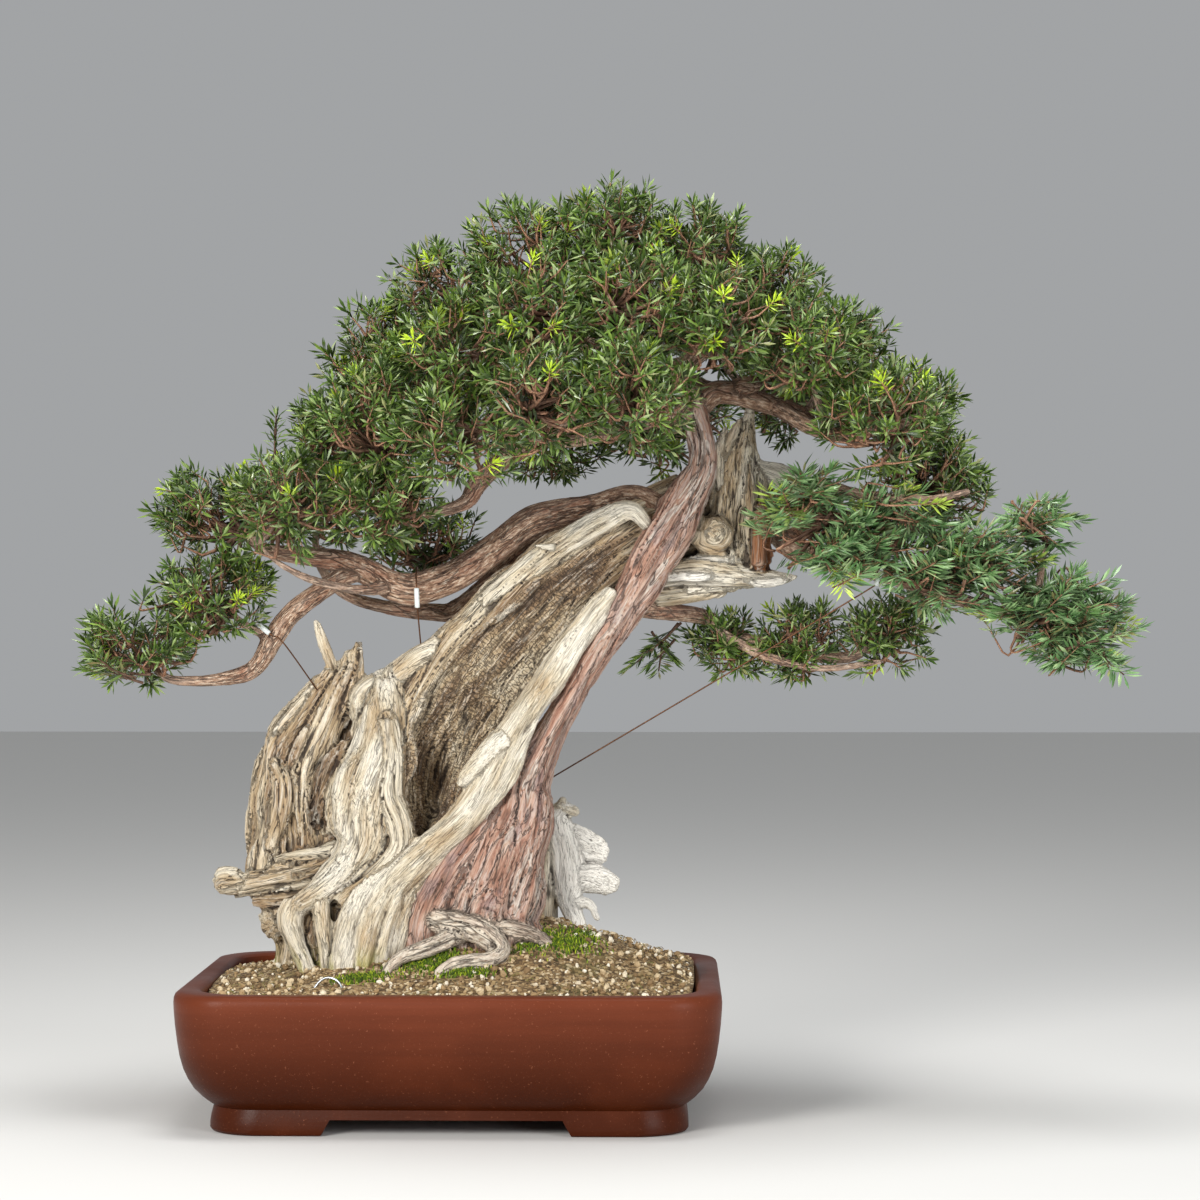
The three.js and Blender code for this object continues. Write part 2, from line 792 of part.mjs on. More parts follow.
// Flat planes halfway to each near pad, which the pad and its needles stay behind
function padWalls(pad) {
  const middle = new THREE.Vector3(...pad.at);
  return PADS.filter((other) => other !== pad).map((other) => {
    const normal = new THREE.Vector3(...other.at).sub(middle);
    const distance = normal.length();
    normal.normalize();
    const own = padReach(pad, normal);
    const share = own / (own + padReach(other, normal));
    return { normal, limit: distance * share - PAD_GAP / 2 };
  });
}

// One needle: a flat three-sided cone from its root to its tip
function needle(root, tip) {
  const length = root.distanceTo(tip);
  const geometry = new THREE.ConeGeometry(NEEDLE_WIDTH / Math.sqrt(3), length, 3);
  geometry.scale(1, 1, NEEDLE_FLATNESS);
  geometry.translate(0, length / 2, 0);
  const along = tip.clone().sub(root).normalize();
  geometry.applyQuaternion(new THREE.Quaternion().setFromUnitVectors(new THREE.Vector3(0, 1, 0), along));
  geometry.translate(root.x, root.y, root.z);
  return solid(geometry);
}

function randomDirection(random) {
  const z = 2 * random() - 1;
  const flat = Math.sqrt(1 - z * z);
  const angle = 2 * Math.PI * random();
  return new THREE.Vector3(flat * Math.cos(angle), flat * Math.sin(angle), z);
}

// The dense part of a pad: tufts that stand out unevenly from the middle, behind the pad's walls
function padCore(pad, walls, random) {
  const core = new THREE.OctahedronGeometry(1, 1);
  core.deleteAttribute("normal");
  core.deleteAttribute("uv");
  const merged = mergeVertices(core, 1e-4);
  const position = merged.attributes.position;
  const direction = new THREE.Vector3();
  for (let i = 0; i < position.count; i += 1) {
    direction.fromBufferAttribute(position, i).normalize();
    let distance = padReach(pad, direction) * (1 + PAD_TUFT * (2 * random() - 1));
    for (const { normal, limit } of walls) {
      const toward = direction.dot(normal);
      if (toward > 0) distance = Math.min(distance, limit / toward);
    }
    direction.multiplyScalar(distance);
    position.setXYZ(i, direction.x, direction.y, direction.z);
  }
  return merged;
}

// A pad: needles stand on the faces of the dense part, spread evenly round it
function makePad(pad, seed, obstacles) {
  const random = seededRandom(seed);
  const walls = padWalls(pad);
  const core = padCore(pad, walls, random);
  const position = core.attributes.position;
  const corners = core.index.array;
  const faces = corners.length / 3;
  const blades = [];
  const face = new THREE.Triangle();
  const out = new THREE.Vector3();
  for (let i = 0; i < PAD_NEEDLES; i += 1) {
    const first = 3 * Math.floor((i * faces) / PAD_NEEDLES);
    face.setFromAttributeAndIndices(position, corners[first], corners[first + 1], corners[first + 2]);
    face.getNormal(out);
    const spot = face.getMidpoint(new THREE.Vector3());
    for (let attempt = 0; attempt < NEEDLE_TRIES; attempt += 1) {
      const lean = out.clone().addScaledVector(randomDirection(random), NEEDLE_LEAN).normalize();
      const tip = spot.clone().addScaledVector(lean, NEEDLE_LENGTH);
      if (walls.some(({ normal, limit }) => tip.dot(normal) > limit)) continue;
      const root = spot.clone().addScaledVector(lean, -NEEDLE_ROOT);
      const blade = needle(root, tip).translate(pad.at);
      if (!blade.intersect(obstacles).isEmpty()) continue;
      blades.push(blade);
      break;
    }
  }
  const dense = solid(core).translate(pad.at);
  return mainBody(joined([dense, ...blades]).subtract(obstacles));
}

// Where a branch into a pad ends: well inside its dense part
function insidePad({ at, size }, start) {
  const goal = new THREE.Vector3(...at);
  const back = start.clone().sub(goal);
  return goal.addScaledVector(back.normalize(), 0.5 * Math.min(...size));
}

// A limb of the crown, from the upper trunk into a pad
function crownLimb(pad) {
  const [x, y, z] = VEIN[pad.from];
  const start = new THREE.Vector3(x, y, z);
  const end = insidePad(pad, start);
  const length = start.distanceTo(end);
  const between = (share) => start.clone().lerp(end, share).add(new THREE.Vector3(0, 0, -0.08 * length));
  return [
    [...start.toArray(), 9],
    [...between(0.33).toArray(), 7.5],
    [...between(0.7).toArray(), 5.5],
    [...end.toArray(), 2.5],
  ];
}

const LIMBS = [...MAIN_LIMBS, ...PADS.filter((pad) => pad.from).map(crownLimb)];
const LIMB_SPOTS = LIMBS.flatMap((points) => {
  const path = new THREE.CatmullRomCurve3(points.map(([x, y, z]) => new THREE.Vector3(x, y, z)));
  return path.getPoints(4 * points.length);
});

// A branch from the nearest limb into a pad
function padBranch(pad) {
  const goal = new THREE.Vector3(...pad.at);
  const cost = (spot) => spot.distanceTo(goal) + Math.max(0, spot.z - goal.z);
  const start = LIMB_SPOTS.reduce((best, spot) => (cost(spot) < cost(best) ? spot : best));
  const end = insidePad(pad, start);
  const bend = start.clone().lerp(end, 0.5);
  bend.z -= 0.08 * start.distanceTo(end);
  return [
    [...start.toArray(), 4.5],
    [...bend.toArray(), 3.8],
    [...end.toArray(), 2.4],
  ];
}

// A spray hangs on the nearest limb by its thick root
function sprayBranch({ stem }) {
  const inside = new THREE.Vector3(...stem[0]).lerp(new THREE.Vector3(...stem[1]), 0.35);
  return padBranch({ at: inside.toArray(), size: [1, 1, 1] });
}

function makeLiving(grow) {
  const round = (points, sides) => limb(points, { sides, grow });
  return joined([
    limb(VEIN, { sides: 8, flute: 0.07, grow }),
    ...ROOTS.map((root) => round(root, 4)),
    ...[LEFT_MAIN, LEFT_LOW, LEFT_UPPER, RIGHT_LOW].map((points) => round(points, 6)),
    ...[LEFT_BACK, RIGHT_UNDER, RIGHT_UPPER, RIGHT_MIDDLE].map((points) => round(points, 5)),
    ...PADS.filter((pad) => pad.from).map((pad) => round(crownLimb(pad), 4)),
    ...PADS.filter((pad) => !pad.from && !pad.grown).map((pad) => round(padBranch(pad), 3)),
    ...SPRAYS.map((spray) => round(sprayBranch(spray), 3)),
    lump([276, 12, 686], [14, 13, 13], grow),
  ]);
}

// Needles in two ranks along a stem, left and right by turns, and one at its tip
function rankedNeedles(stem, random) {
  const path = new THREE.CatmullRomCurve3(stem.map((point) => new THREE.Vector3(...point)));
  const up = new THREE.Vector3(0, 0, 1);
  const blades = [];
  for (let i = 3; i <= SPRAY_NEEDLES; i += 1) {
    const root = path.getPoint(i / SPRAY_NEEDLES);
    const along = path.getTangent(i / SPRAY_NEEDLES);
    const sideways = new THREE.Vector3().crossVectors(along, up).normalize();
    const sign = i === SPRAY_NEEDLES ? 0 : 2 * (i % 2) - 1;
    const out = along.clone().multiplyScalar(0.75).addScaledVector(sideways, sign);
    out.addScaledVector(randomDirection(random), 0.15).normalize();
    blades.push(needle(root, root.clone().addScaledVector(out, NEEDLE_LENGTH + 2)));
  }
  return blades;
}

function makeSpray({ stem, twig }, seed, obstacles, pads) {
  const random = seededRandom(seed);
  const sized = (points, sizes) => limb(points.map((point, i) => [...point, sizes[i]]), { sides: 4 });
  const blades = [...rankedNeedles(stem, random), ...rankedNeedles(twig, random)];
  const blocked = obstacles.add(pads);
  const clear = blades.filter((blade) => blade.intersect(blocked).isEmpty());
  const wood = [sized(stem, SPRAY_STEM), sized(twig, SPRAY_TWIG)];
  return mainBody(joined([...wood, ...clear]).subtract(obstacles));
}

// Guy wires: each hangs from a plastic sleeve that saddles a branch, and is fixed in a hole in the
// trunk. at is the middle of the branch, radius its half thickness, and turn leans the sleeve over.
const GUYS = [
  { name: "left", at: [-174, -8, 452], radius: 14, turn: 0.95, foot: [-124, 8, 384] },
  { name: "middle", at: [-38, 4, 497], radius: 18, turn: 0.05, foot: [-34, 2, 430] },
  { name: "right", at: [400, -48, 512], radius: 13, turn: -0.4, foot: [64, 24, 300] },
];

function sleevePoints({ at, radius, turn }) {
  const ring = radius + SLEEVE_RADIUS + GAP;
  const leg = [0, -ring, -radius];
  const arc = [];
  for (let i = 0; i <= SLEEVE_STEPS; i += 1) {
    const angle = (Math.PI * i) / SLEEVE_STEPS;
    arc.push([0, -ring * Math.cos(angle), ring * Math.sin(angle)]);
  }
  const tilt = new THREE.Vector3(0, 1, 0);
  return [leg, ...arc].map((point) => {
    const spot = new THREE.Vector3(...point).applyAxisAngle(tilt, -turn);
    return spot.add(new THREE.Vector3(...at)).toArray();
  });
}

function makeSleeve(guy, grow) {
  return limb(sleevePoints(guy).map((point) => [...point, SLEEVE_RADIUS]), { sides: 5, grow });
}

// The wire starts just inside the lower end of the sleeve
function makeWire(guy, grow) {
  const [end, next] = sleevePoints(guy).map((point) => new THREE.Vector3(...point));
  const top = end.clone().lerp(next, 0.3).toArray();
  return limb([[...guy.foot, WIRE_RADIUS], [...end.toArray(), WIRE_RADIUS], [...top, WIRE_RADIUS]], { sides: 4, grow });
}

const TIE_WIRE = [
  [-130, -120, 116, 1.2],
  [-122, -116, 132, 1.2],
  [-112, -115, 138, 1.2],
  [-101, -118, 133, 1.2],
  [-95, -121, 116, 1.2],
];
const SOIL_TAG = [
  [141, -6, 120, 4, 1.5],
  [140, -6, 142, 4, 1.5],
  [137, -6, 158, 3.5, 1.5],
];

// Assembly: the living wood first, then what makes room for it

const living = mainBody(makeLiving(0));
const livingRoom = makeLiving(GAP);
const wireRoom = joined(GUYS.map((guy) => makeWire(guy, GAP)));
const sleeveRoom = joined(GUYS.map((guy) => makeSleeve(guy, GAP)));
const deadwood = mainBody(makeDeadwood(0).subtract(livingRoom).subtract(wireRoom));
const woodRoom = makeDeadwood(GAP).add(livingRoom);
const trim = [
  { name: "tie_wire", shape: limb(TIE_WIRE, { sides: 6 }), room: limb(TIE_WIRE, { sides: 6, grow: GAP }), finish: STEEL },
  {
    name: "soil_tag",
    shape: limb(SOIL_TAG, { sides: 4 }),
    room: limb(SOIL_TAG, { sides: 4, grow: GAP }),
    finish: BLACK_PLASTIC,
  },
];

let soil = makeSoil().subtract(woodRoom);
for (const { room } of trim) soil = soil.subtract(room);
for (const sign of [-1, 1]) soil = soil.subtract(screenRecess(sign * DRAIN_OFFSET));

const obstacles = woodRoom.add(wireRoom).add(sleeveRoom);

const tree = new THREE.Group();
tree.add(piece("pot", makePot(), CLAY));
tree.add(piece("soil", mainBody(soil), SOIL));
tree.add(piece("drain_screen_left", makeScreen(-DRAIN_OFFSET), BLACK_PLASTIC));
tree.add(piece("drain_screen_right", makeScreen(DRAIN_OFFSET), BLACK_PLASTIC));
tree.add(piece("deadwood", deadwood, DEADWOOD));
tree.add(piece("living_wood", living, BARK));
for (const { name, shape, finish } of trim) tree.add(piece(name, shape, finish));
for (const guy of GUYS) {
  tree.add(piece("guy_wire_" + guy.name, makeWire(guy, 0), COPPER));
  tree.add(piece("guy_sleeve_" + guy.name, mainBody(makeSleeve(guy, 0).subtract(wireRoom).subtract(livingRoom)), SLEEVE_PLASTIC));
}
const padShapes = PADS.map((pad, i) => makePad(pad, i + 1, obstacles));
const counts = {};
PADS.forEach(({ group, finish }, i) => {
  counts[group] = (counts[group] ?? 0) + 1;
  const name = "foliage_" + group + "_" + String(counts[group]).padStart(2, "0");
  tree.add(piece(name, padShapes[i], finish));
});
const allPads = joined(padShapes);
SPRAYS.forEach((spray, i) => {
  tree.add(piece(spray.name, makeSpray(spray, FIRST_SPRAY_SEED + i, obstacles, allPads), spray.finish));
});

// Move the tree so that its origin is the bottom centre of all of it
const bounds = new THREE.Box3().setFromObject(tree, true);
const centre = bounds.getCenter(new THREE.Vector3());
tree.position.set(-centre.x, -centre.y, -bounds.min.z);

export default tree;
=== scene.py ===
# %% [markdown]
# # An old japanese yew in its pot
#
# The tree is mostly dry silver wood. One strip of living bark climbs its right side and feeds a
# domed crown, a left branch and a long low branch to the right. The solids of the measured model
# give every place and size. Here each of them gets the surface that the real thing has.

# %% Load the measured model
import math

import bmesh
import bpy
import numpy as np
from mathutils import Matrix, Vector


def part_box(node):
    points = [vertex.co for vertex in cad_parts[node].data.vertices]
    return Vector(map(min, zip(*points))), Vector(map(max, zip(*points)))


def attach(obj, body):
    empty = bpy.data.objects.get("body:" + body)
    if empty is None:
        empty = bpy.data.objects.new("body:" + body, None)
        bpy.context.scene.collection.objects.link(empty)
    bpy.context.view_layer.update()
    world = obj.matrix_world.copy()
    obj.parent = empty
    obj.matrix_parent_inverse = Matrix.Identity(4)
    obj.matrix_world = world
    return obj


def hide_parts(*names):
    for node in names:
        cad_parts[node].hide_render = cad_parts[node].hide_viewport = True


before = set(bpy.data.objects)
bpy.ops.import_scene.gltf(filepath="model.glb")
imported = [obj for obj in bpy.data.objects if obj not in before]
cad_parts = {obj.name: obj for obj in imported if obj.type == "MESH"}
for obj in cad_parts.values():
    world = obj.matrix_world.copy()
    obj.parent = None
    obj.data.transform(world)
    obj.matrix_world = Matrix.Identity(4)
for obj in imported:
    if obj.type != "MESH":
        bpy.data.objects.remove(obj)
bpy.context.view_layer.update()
MM = 0.001
pot_low, pot_high = (np.array(corner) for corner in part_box("pot"))
POT_MIDDLE = np.array([(pot_low[0] + pot_high[0]) / 2, (pot_low[1] + pot_high[1]) / 2, pot_low[2]])
UP = np.array([0.0, 0.0, 1.0])
print("nodes", len(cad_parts), "pot's middle", POT_MIDDLE.round(4))

# %% [markdown]
# ## Tools that several pieces share
#
# Wood and twigs are long shapes that follow a curve and change thickness on the way. A curve with a
# bevel would be round and smooth, so each one is a row of rings along a line instead, and every
# point is free to be pushed in or out. Tables are in millimetres from the middle of the pot's base.

# %% Selecting, and changing with modifiers
def clear_selection():
    if bpy.context.object and bpy.context.object.mode == "EDIT":
        bpy.ops.object.mode_set(mode="OBJECT")
    bpy.ops.object.select_all(action="DESELECT")


def make_current(piece):
    clear_selection()
    piece.select_set(True)
    bpy.context.view_layer.objects.active = piece


def edit_all(piece):
    """Opens a piece in edit mode with all of it selected."""
    make_current(piece)
    bpy.ops.object.mode_set(mode="EDIT")
    bpy.ops.mesh.select_all(action="SELECT")


def choose(piece, kind, test):
    """In edit mode, selects the corners or edges that a test picks."""
    bpy.ops.mesh.select_all(action="DESELECT")
    shape = bmesh.from_edit_mesh(piece.data)
    for part in getattr(shape, kind):
        part.select = test(part)
    shape.select_flush_mode()
    bmesh.update_edit_mesh(piece.data)


def face_out(piece):
    """Turns the faces of a piece in edit mode outwards, and leaves edit mode."""
    bpy.ops.mesh.select_all(action="SELECT")
    bpy.ops.mesh.normals_make_consistent(inside=False)
    bpy.ops.object.mode_set(mode="OBJECT")
    return piece


def change(piece, kind, **settings):
    """Adds a modifier to a piece and applies it."""
    make_current(piece)
    modifier = piece.modifiers.new(kind.lower(), kind)
    for key, value in settings.items():
        setattr(modifier, key, value)
    bpy.ops.object.modifier_apply(modifier=modifier.name)


def combine(body, other, operation, solver="MANIFOLD"):
    """Joins a closed piece to another or cuts it out, and removes it."""
    change(body, "BOOLEAN", object=other, operation=operation, solver=solver)
    bpy.data.objects.remove(other)


print("pot's size", ((pot_high - pot_low) / MM).round(1), "mm")

# %% Meshes from arrays of points
def mesh_piece(name, points, faces, smooth=True):
    """A new object from points in mm and faces given as arrays of point numbers."""
    mesh = bpy.data.meshes.new(name)
    corners = np.concatenate([group.ravel() for group in faces]).astype(np.int32)
    counts = np.concatenate([np.full(len(group), group.shape[1]) for group in faces])
    starts = np.concatenate([[0], np.cumsum(counts)[:-1]]).astype(np.int32)
    mesh.vertices.add(len(points))
    mesh.vertices.foreach_set("co", (points * MM + POT_MIDDLE).astype(np.float32).ravel())
    mesh.loops.add(len(corners))
    mesh.loops.foreach_set("vertex_index", corners)
    mesh.polygons.add(len(counts))
    mesh.polygons.foreach_set("loop_start", starts)
    mesh.polygons.foreach_set("use_smooth", np.full(len(counts), smooth))
    mesh.update(calc_edges=True)
    piece = bpy.data.objects.new(name, mesh)
    bpy.context.scene.collection.objects.link(piece)
    return piece


def read_flat(values, field):
    flat = np.empty(3 * len(values), np.float32)
    values.foreach_get(field, flat)
    return flat.reshape(-1, 3)


def read_points(piece):
    """A piece's points in mm from the pot's middle."""
    return (read_flat(piece.data.vertices, "co") - POT_MIDDLE) / MM


def read_normals(piece):
    return read_flat(piece.data.vertex_normals, "vector")


def push_out(piece, points, distance):
    """Moves each point along its normal by its distance in mm."""
    moved = points + read_normals(piece) * distance[:, None]
    piece.data.vertices.foreach_set("co", (moved * MM + POT_MIDDLE).astype(np.float32).ravel())
    piece.data.update()


def give_values(piece, name, values, kind="FLOAT_VECTOR"):
    """Stores a value for each point, which a material can read by name."""
    layer = piece.data.attributes.new(name, kind, "POINT")
    field = "color" if kind == "FLOAT_COLOR" else "vector"
    layer.data.foreach_set(field, np.ascontiguousarray(values, np.float32).ravel())


def random_shades(piece, random, count, corners):
    """Gives each of count small shapes its own random values, named leaf."""
    shades = np.column_stack([random.random((count, 3)), np.ones(count)])
    give_values(piece, "leaf", np.repeat(shades, corners, axis=0), "FLOAT_COLOR")


def count_triangles(*pieces):
    for piece in pieces:
        piece.data.calc_loop_triangles()
    return sum(len(piece.data.loop_triangles) for piece in pieces)


# %% Smooth noise, for ridges, knots and colours
def noise(points, seed=0):
    """Smooth noise from -1 to 1 at each row of points, the same on every run."""
    cell = np.floor(points).astype(np.int64)
    part = points - cell
    part = part * part * (3 - 2 * part)
    total = np.zeros(len(points))
    for corner in np.ndindex(2, 2, 2):
        key = cell + corner
        mixed = key[:, 0] * 374761393 + key[:, 1] * 668265263 + key[:, 2] * 362437 + seed * 97531
        mixed = (mixed ^ (mixed >> 13)) * 1274126177
        value = ((mixed ^ (mixed >> 16)) & 0xFFFF) / 32767.5 - 1
        total += value * np.prod(np.where(corner, part, 1 - part), axis=1)
    return total


def lengths(vectors):
    return np.linalg.norm(vectors, axis=-1, keepdims=True)


# %% Lines and rings
THINNEST = 0.3  # mm, half the width of the finest tip


def course(rows, step):
    """The smooth line through a table's rows, with a ring every step mm."""
    rows = np.array([row if len(row) == 5 else (*row, row[3]) for row in rows], float)
    padded = np.vstack([2 * rows[0] - rows[1], rows, 2 * rows[-1] - rows[-2]])
    stretches = []
    for i in range(len(rows) - 1):
        before, start, end, after = padded[i:i + 4]
        count = max(1, round(float(np.linalg.norm((end - start)[:3])) / step))
        t = np.linspace(0, 1, count, endpoint=False)[:, None]
        bent = 2 * before - 5 * start + 4 * end - after
        swung = 3 * start - before - 3 * end + after
        stretches.append(0.5 * (2 * start + (end - before) * t + bent * t**2 + swung * t**3))
    line = np.vstack([*stretches, rows[-1:]])
    middle, half = line[:, :3], np.maximum(line[:, 3:5], THINNEST)
    along = np.gradient(middle, axis=0)
    along /= np.maximum(lengths(along), 1e-9)
    side, sides = np.cross(along[0], [0.02, 1.0, 0.01]), []
    for direction in along:
        side = side - direction * np.dot(side, direction)
        side = side / np.linalg.norm(side)
        sides.append(side)
    sides = np.array(sides)
    run = np.concatenate([[0], np.cumsum(np.linalg.norm(np.diff(middle, axis=0), axis=1))])
    return {"middle": middle, "half": half, "along": along, "side": sides,
            "deep": np.cross(along, sides), "run": run}


def ring_faces(rings, around):
    """Quads between rings and a fan on each end, whose middles are the last two points."""
    ring, spot = np.arange(rings - 1)[:, None], np.arange(around)[None, :]
    after = (spot + 1) % around
    quads = np.stack([ring * around + spot, ring * around + after,
                      (ring + 1) * around + after, (ring + 1) * around + spot], -1).reshape(-1, 4)
    spot, after = spot[0], after[0]
    last = (rings - 1) * around
    start = np.stack([np.full(around, rings * around), after, spot], -1)
    end = np.stack([np.full(around, rings * around + 1), last + spot, last + after], -1)
    return [np.vstack([start, end]), quads]


def tube(line, around, depth=0.0, folds=2.0, reach=90.0, twist=0.0, seed=0):
    """Rings along a line. depth is how far ridges stand out, as a share of the thickness."""
    angle = np.linspace(0, 2 * np.pi, around, endpoint=False)
    turn, run = np.meshgrid(angle, line["run"])
    swell = np.ones_like(turn)
    if depth:
        wound = turn + twist * run / 100
        spots = np.stack([np.cos(wound) * folds, np.sin(wound) * folds, run / reach + 9.7 * seed], -1)
        broad = np.abs(noise(spots.reshape(-1, 3), seed)).reshape(turn.shape)
        fine = np.abs(noise(spots.reshape(-1, 3) * [2.6, 2.6, 1.9], seed + 50)).reshape(turn.shape)
        swell += depth * (2.4 * broad - 0.9) + 0.45 * depth * (2.4 * fine - 0.9)
    width, thick = line["half"][:, :1] * swell, line["half"][:, 1:] * swell
    middle = line["middle"]
    if depth:
        count = len(line["run"])
        spots = np.column_stack([line["run"] / 34, np.full(count, 3.3 * seed), np.zeros(count)])
        lump = 1 + 0.9 * depth * noise(spots, 70)[:, None]
        width, thick = width * lump, thick * (2 - lump)
        sway = 0.9 * depth * line["half"][:, :1] * noise(spots, 71)[:, None]
        middle = middle + line["side"] * sway
    rings = middle[:, None] + line["side"][:, None] * (np.cos(turn) * width)[..., None] \
        + line["deep"][:, None] * (np.sin(turn) * thick)[..., None]
    blunt = 0.35 * line["half"].min(axis=1)
    ends = [line["middle"][0] - line["along"][0] * blunt[0],
            line["middle"][-1] + line["along"][-1] * blunt[-1]]
    return np.vstack([rings.reshape(-1, 3), ends]), ring_faces(len(line["run"]), around)


def points_around(line, fewest):
    """How many points each ring needs, by the thickest place of its line."""
    return int(np.clip(line["half"].max() * 1.6, fewest, 96))


def gather(shapes):
    """Several shapes of one kind of face as one set of points and faces."""
    counts = np.cumsum([0] + [len(points) for points, _ in shapes[:-1]])
    return (np.vstack([points for points, _ in shapes]),
            np.vstack([faces + count for (_, faces), count in zip(shapes, counts)]))


print("noise at a few spots", noise(np.array([[0.2, 0.4, 0.9], [5.1, 2.2, 7.7]])).round(3))

# %% [markdown]
# ## Materials
#
# Each finish is built from nodes: a colour that varies over the surface, a roughness and a fine
# relief. The wood's patterns follow its grain, so they read values named grain and tone that each
# wooden piece carries. Grain says how far along and across its strand a point lies.

# %% Short words for nodes
def shade(red, green, blue):
    """A colour as seen on a screen, from 0 to 255, as the light values that the nodes use."""
    seen = np.array([red, green, blue]) / 255
    light = np.where(seen <= 0.04045, seen / 12.92, ((seen + 0.055) / 1.055) ** 2.4)
    return (*light.tolist(), 1.0)


class Finish:
    """A node material, with short calls for the nodes that the finishes share."""

    def __init__(self, name, roughness=0.7, **sockets):
        self.material = bpy.data.materials.new(name)
        self.material.use_nodes = True
        self.tree = self.material.node_tree
        self.shader = self.tree.nodes["Principled BSDF"]
        self.fill(self.shader, {"Roughness": roughness})
        self.fill(self.shader, {key.replace("_", " "): value for key, value in sockets.items()})

    def fill(self, node, inputs):
        for socket, value in inputs.items():
            if isinstance(value, bpy.types.NodeSocket):
                self.tree.links.new(value, node.inputs[socket])
            else:
                node.inputs[socket].default_value = value
        return node

    def node(self, kind, inputs, **settings):
        node = self.tree.nodes.new("ShaderNode" + kind)
        for key, value in settings.items():
            setattr(node, key, value)
        return self.fill(node, inputs)

    def place(self):
        return self.node("TexCoord", {}).outputs["Object"]

    def stored(self, name, output="Vector"):
        return self.node("Attribute", {}, attribute_name=name).outputs[output]

    def split(self, value):
        return self.node("SeparateXYZ", {0: value}).outputs

    def stretched(self, value, scale):
        return self.node("Mapping", {"Vector": value, "Scale": scale}).outputs[0]

    def cloud(self, value, scale, detail=3.0, rough=0.55, bend=0.0):
        inputs = {"Vector": value, "Scale": scale, "Detail": detail, "Roughness": rough,
                  "Distortion": bend}
        return self.node("TexNoise", inputs).outputs["Fac"]

    def grained(self, across, along, detail=3.0, rough=0.6, bend=0.0):
        """A cloud drawn out along the grain."""
        place = self.stretched(self.stored("grain"), (across, across, along))
        return self.cloud(place, 1.0, detail, rough, bend)

    def cells(self, value, scale, feature="F1", output="Distance"):
        return self.node("TexVoronoi", {"Vector": value, "Scale": scale}, feature=feature).outputs[output]

    def span(self, value, low, high, to_low=0.0, to_high=1.0):
        inputs = {0: value, 1: low, 2: high, 3: to_low, 4: to_high}
        return self.node("MapRange", inputs, interpolation_type="SMOOTHSTEP").outputs[0]

    def maths(self, operation, first, second=0.0):
        return self.node("Math", {0: first, 1: second}, operation=operation).outputs[0]

    def times(self, first, second):
        return self.maths("MULTIPLY", first, second)

    def plus(self, first, second):
        return self.maths("ADD", first, second)

    def minus(self, first, second):
        return self.maths("SUBTRACT", first, second)

    def larger(self, first, second):
        return self.maths("MAXIMUM", first, second)

    def midway(self, value):
        """How far a cloud is from its middle value, which is nought along winding lines."""
        return self.maths("ABSOLUTE", self.minus(value, 0.5))

    def blend(self, share, first, second):
        """Mixes two colours. A plain colour is given as red, green and blue seen on a screen."""
        first, second = (shade(*value) if isinstance(value, tuple) else value for value in (first,
                                                                                            second))
        return self.node("Mix", {0: share, 6: first, 7: second}, data_type="RGBA").outputs[2]

    def layered(self, colour, *layers):
        """Lays colours over one another. Each layer is how much of it shows, then its colour."""
        for share, over in layers:
            colour = self.blend(share, colour, over)
        return colour

    def colours(self, value, *stops):
        """A ramp of colours. Each stop is a position, then red, green and blue."""
        node = self.node("ValToRGB", {0: value})
        ramp = node.color_ramp.elements
        while len(ramp) < len(stops):
            ramp.new(0.5)
        for element, (position, *colour) in zip(ramp, stops):
            element.position, element.color = position, shade(*colour)
        return node.outputs[0]

    def relief(self, height, distance, strength=1.0):
        inputs = {"Height": height, "Distance": distance, "Strength": strength}
        return self.node("Bump", inputs).outputs[0]

    def finish(self, colour, normal=None, roughness=None):
        """Joins colour, relief and roughness to the shader, and gives back the material."""
        chosen = {"Base Color": colour, "Normal": normal, "Roughness": roughness}
        self.fill(self.shader, {socket: value for socket, value in chosen.items() if value is not None})
        return self.material


def cover(piece, material):
    """Gives a piece one material in place of any that it has."""
    piece.data.materials.clear()
    piece.data.materials.append(material)


def cloudy(name, scale, dark, light, roughness, detail=3, **sockets):
    """A finish that varies softly between two colours."""
    finish = Finish(name, roughness, **sockets)
    return finish.finish(finish.blend(finish.cloud(finish.place(), scale, detail, 0.6), dark, light))


print("clay", [round(value, 3) for value in shade(150, 74, 50)])

# %% [markdown]
# ## The dry wood
#
# The dead part of the trunk is one piece of bare wood: a hollow shell with a rolled rim, a pale
# ribbon down its front, a broken stump on the left and a flame of wood at the top. Sculpting it by
# hand would take days. Here each muscle of the wood is a strand, and the strands are melted into
# one skin with the Remesh modifier, which keeps the creases between them. The hollow is cut from
# the trunk first, with a Boolean modifier.

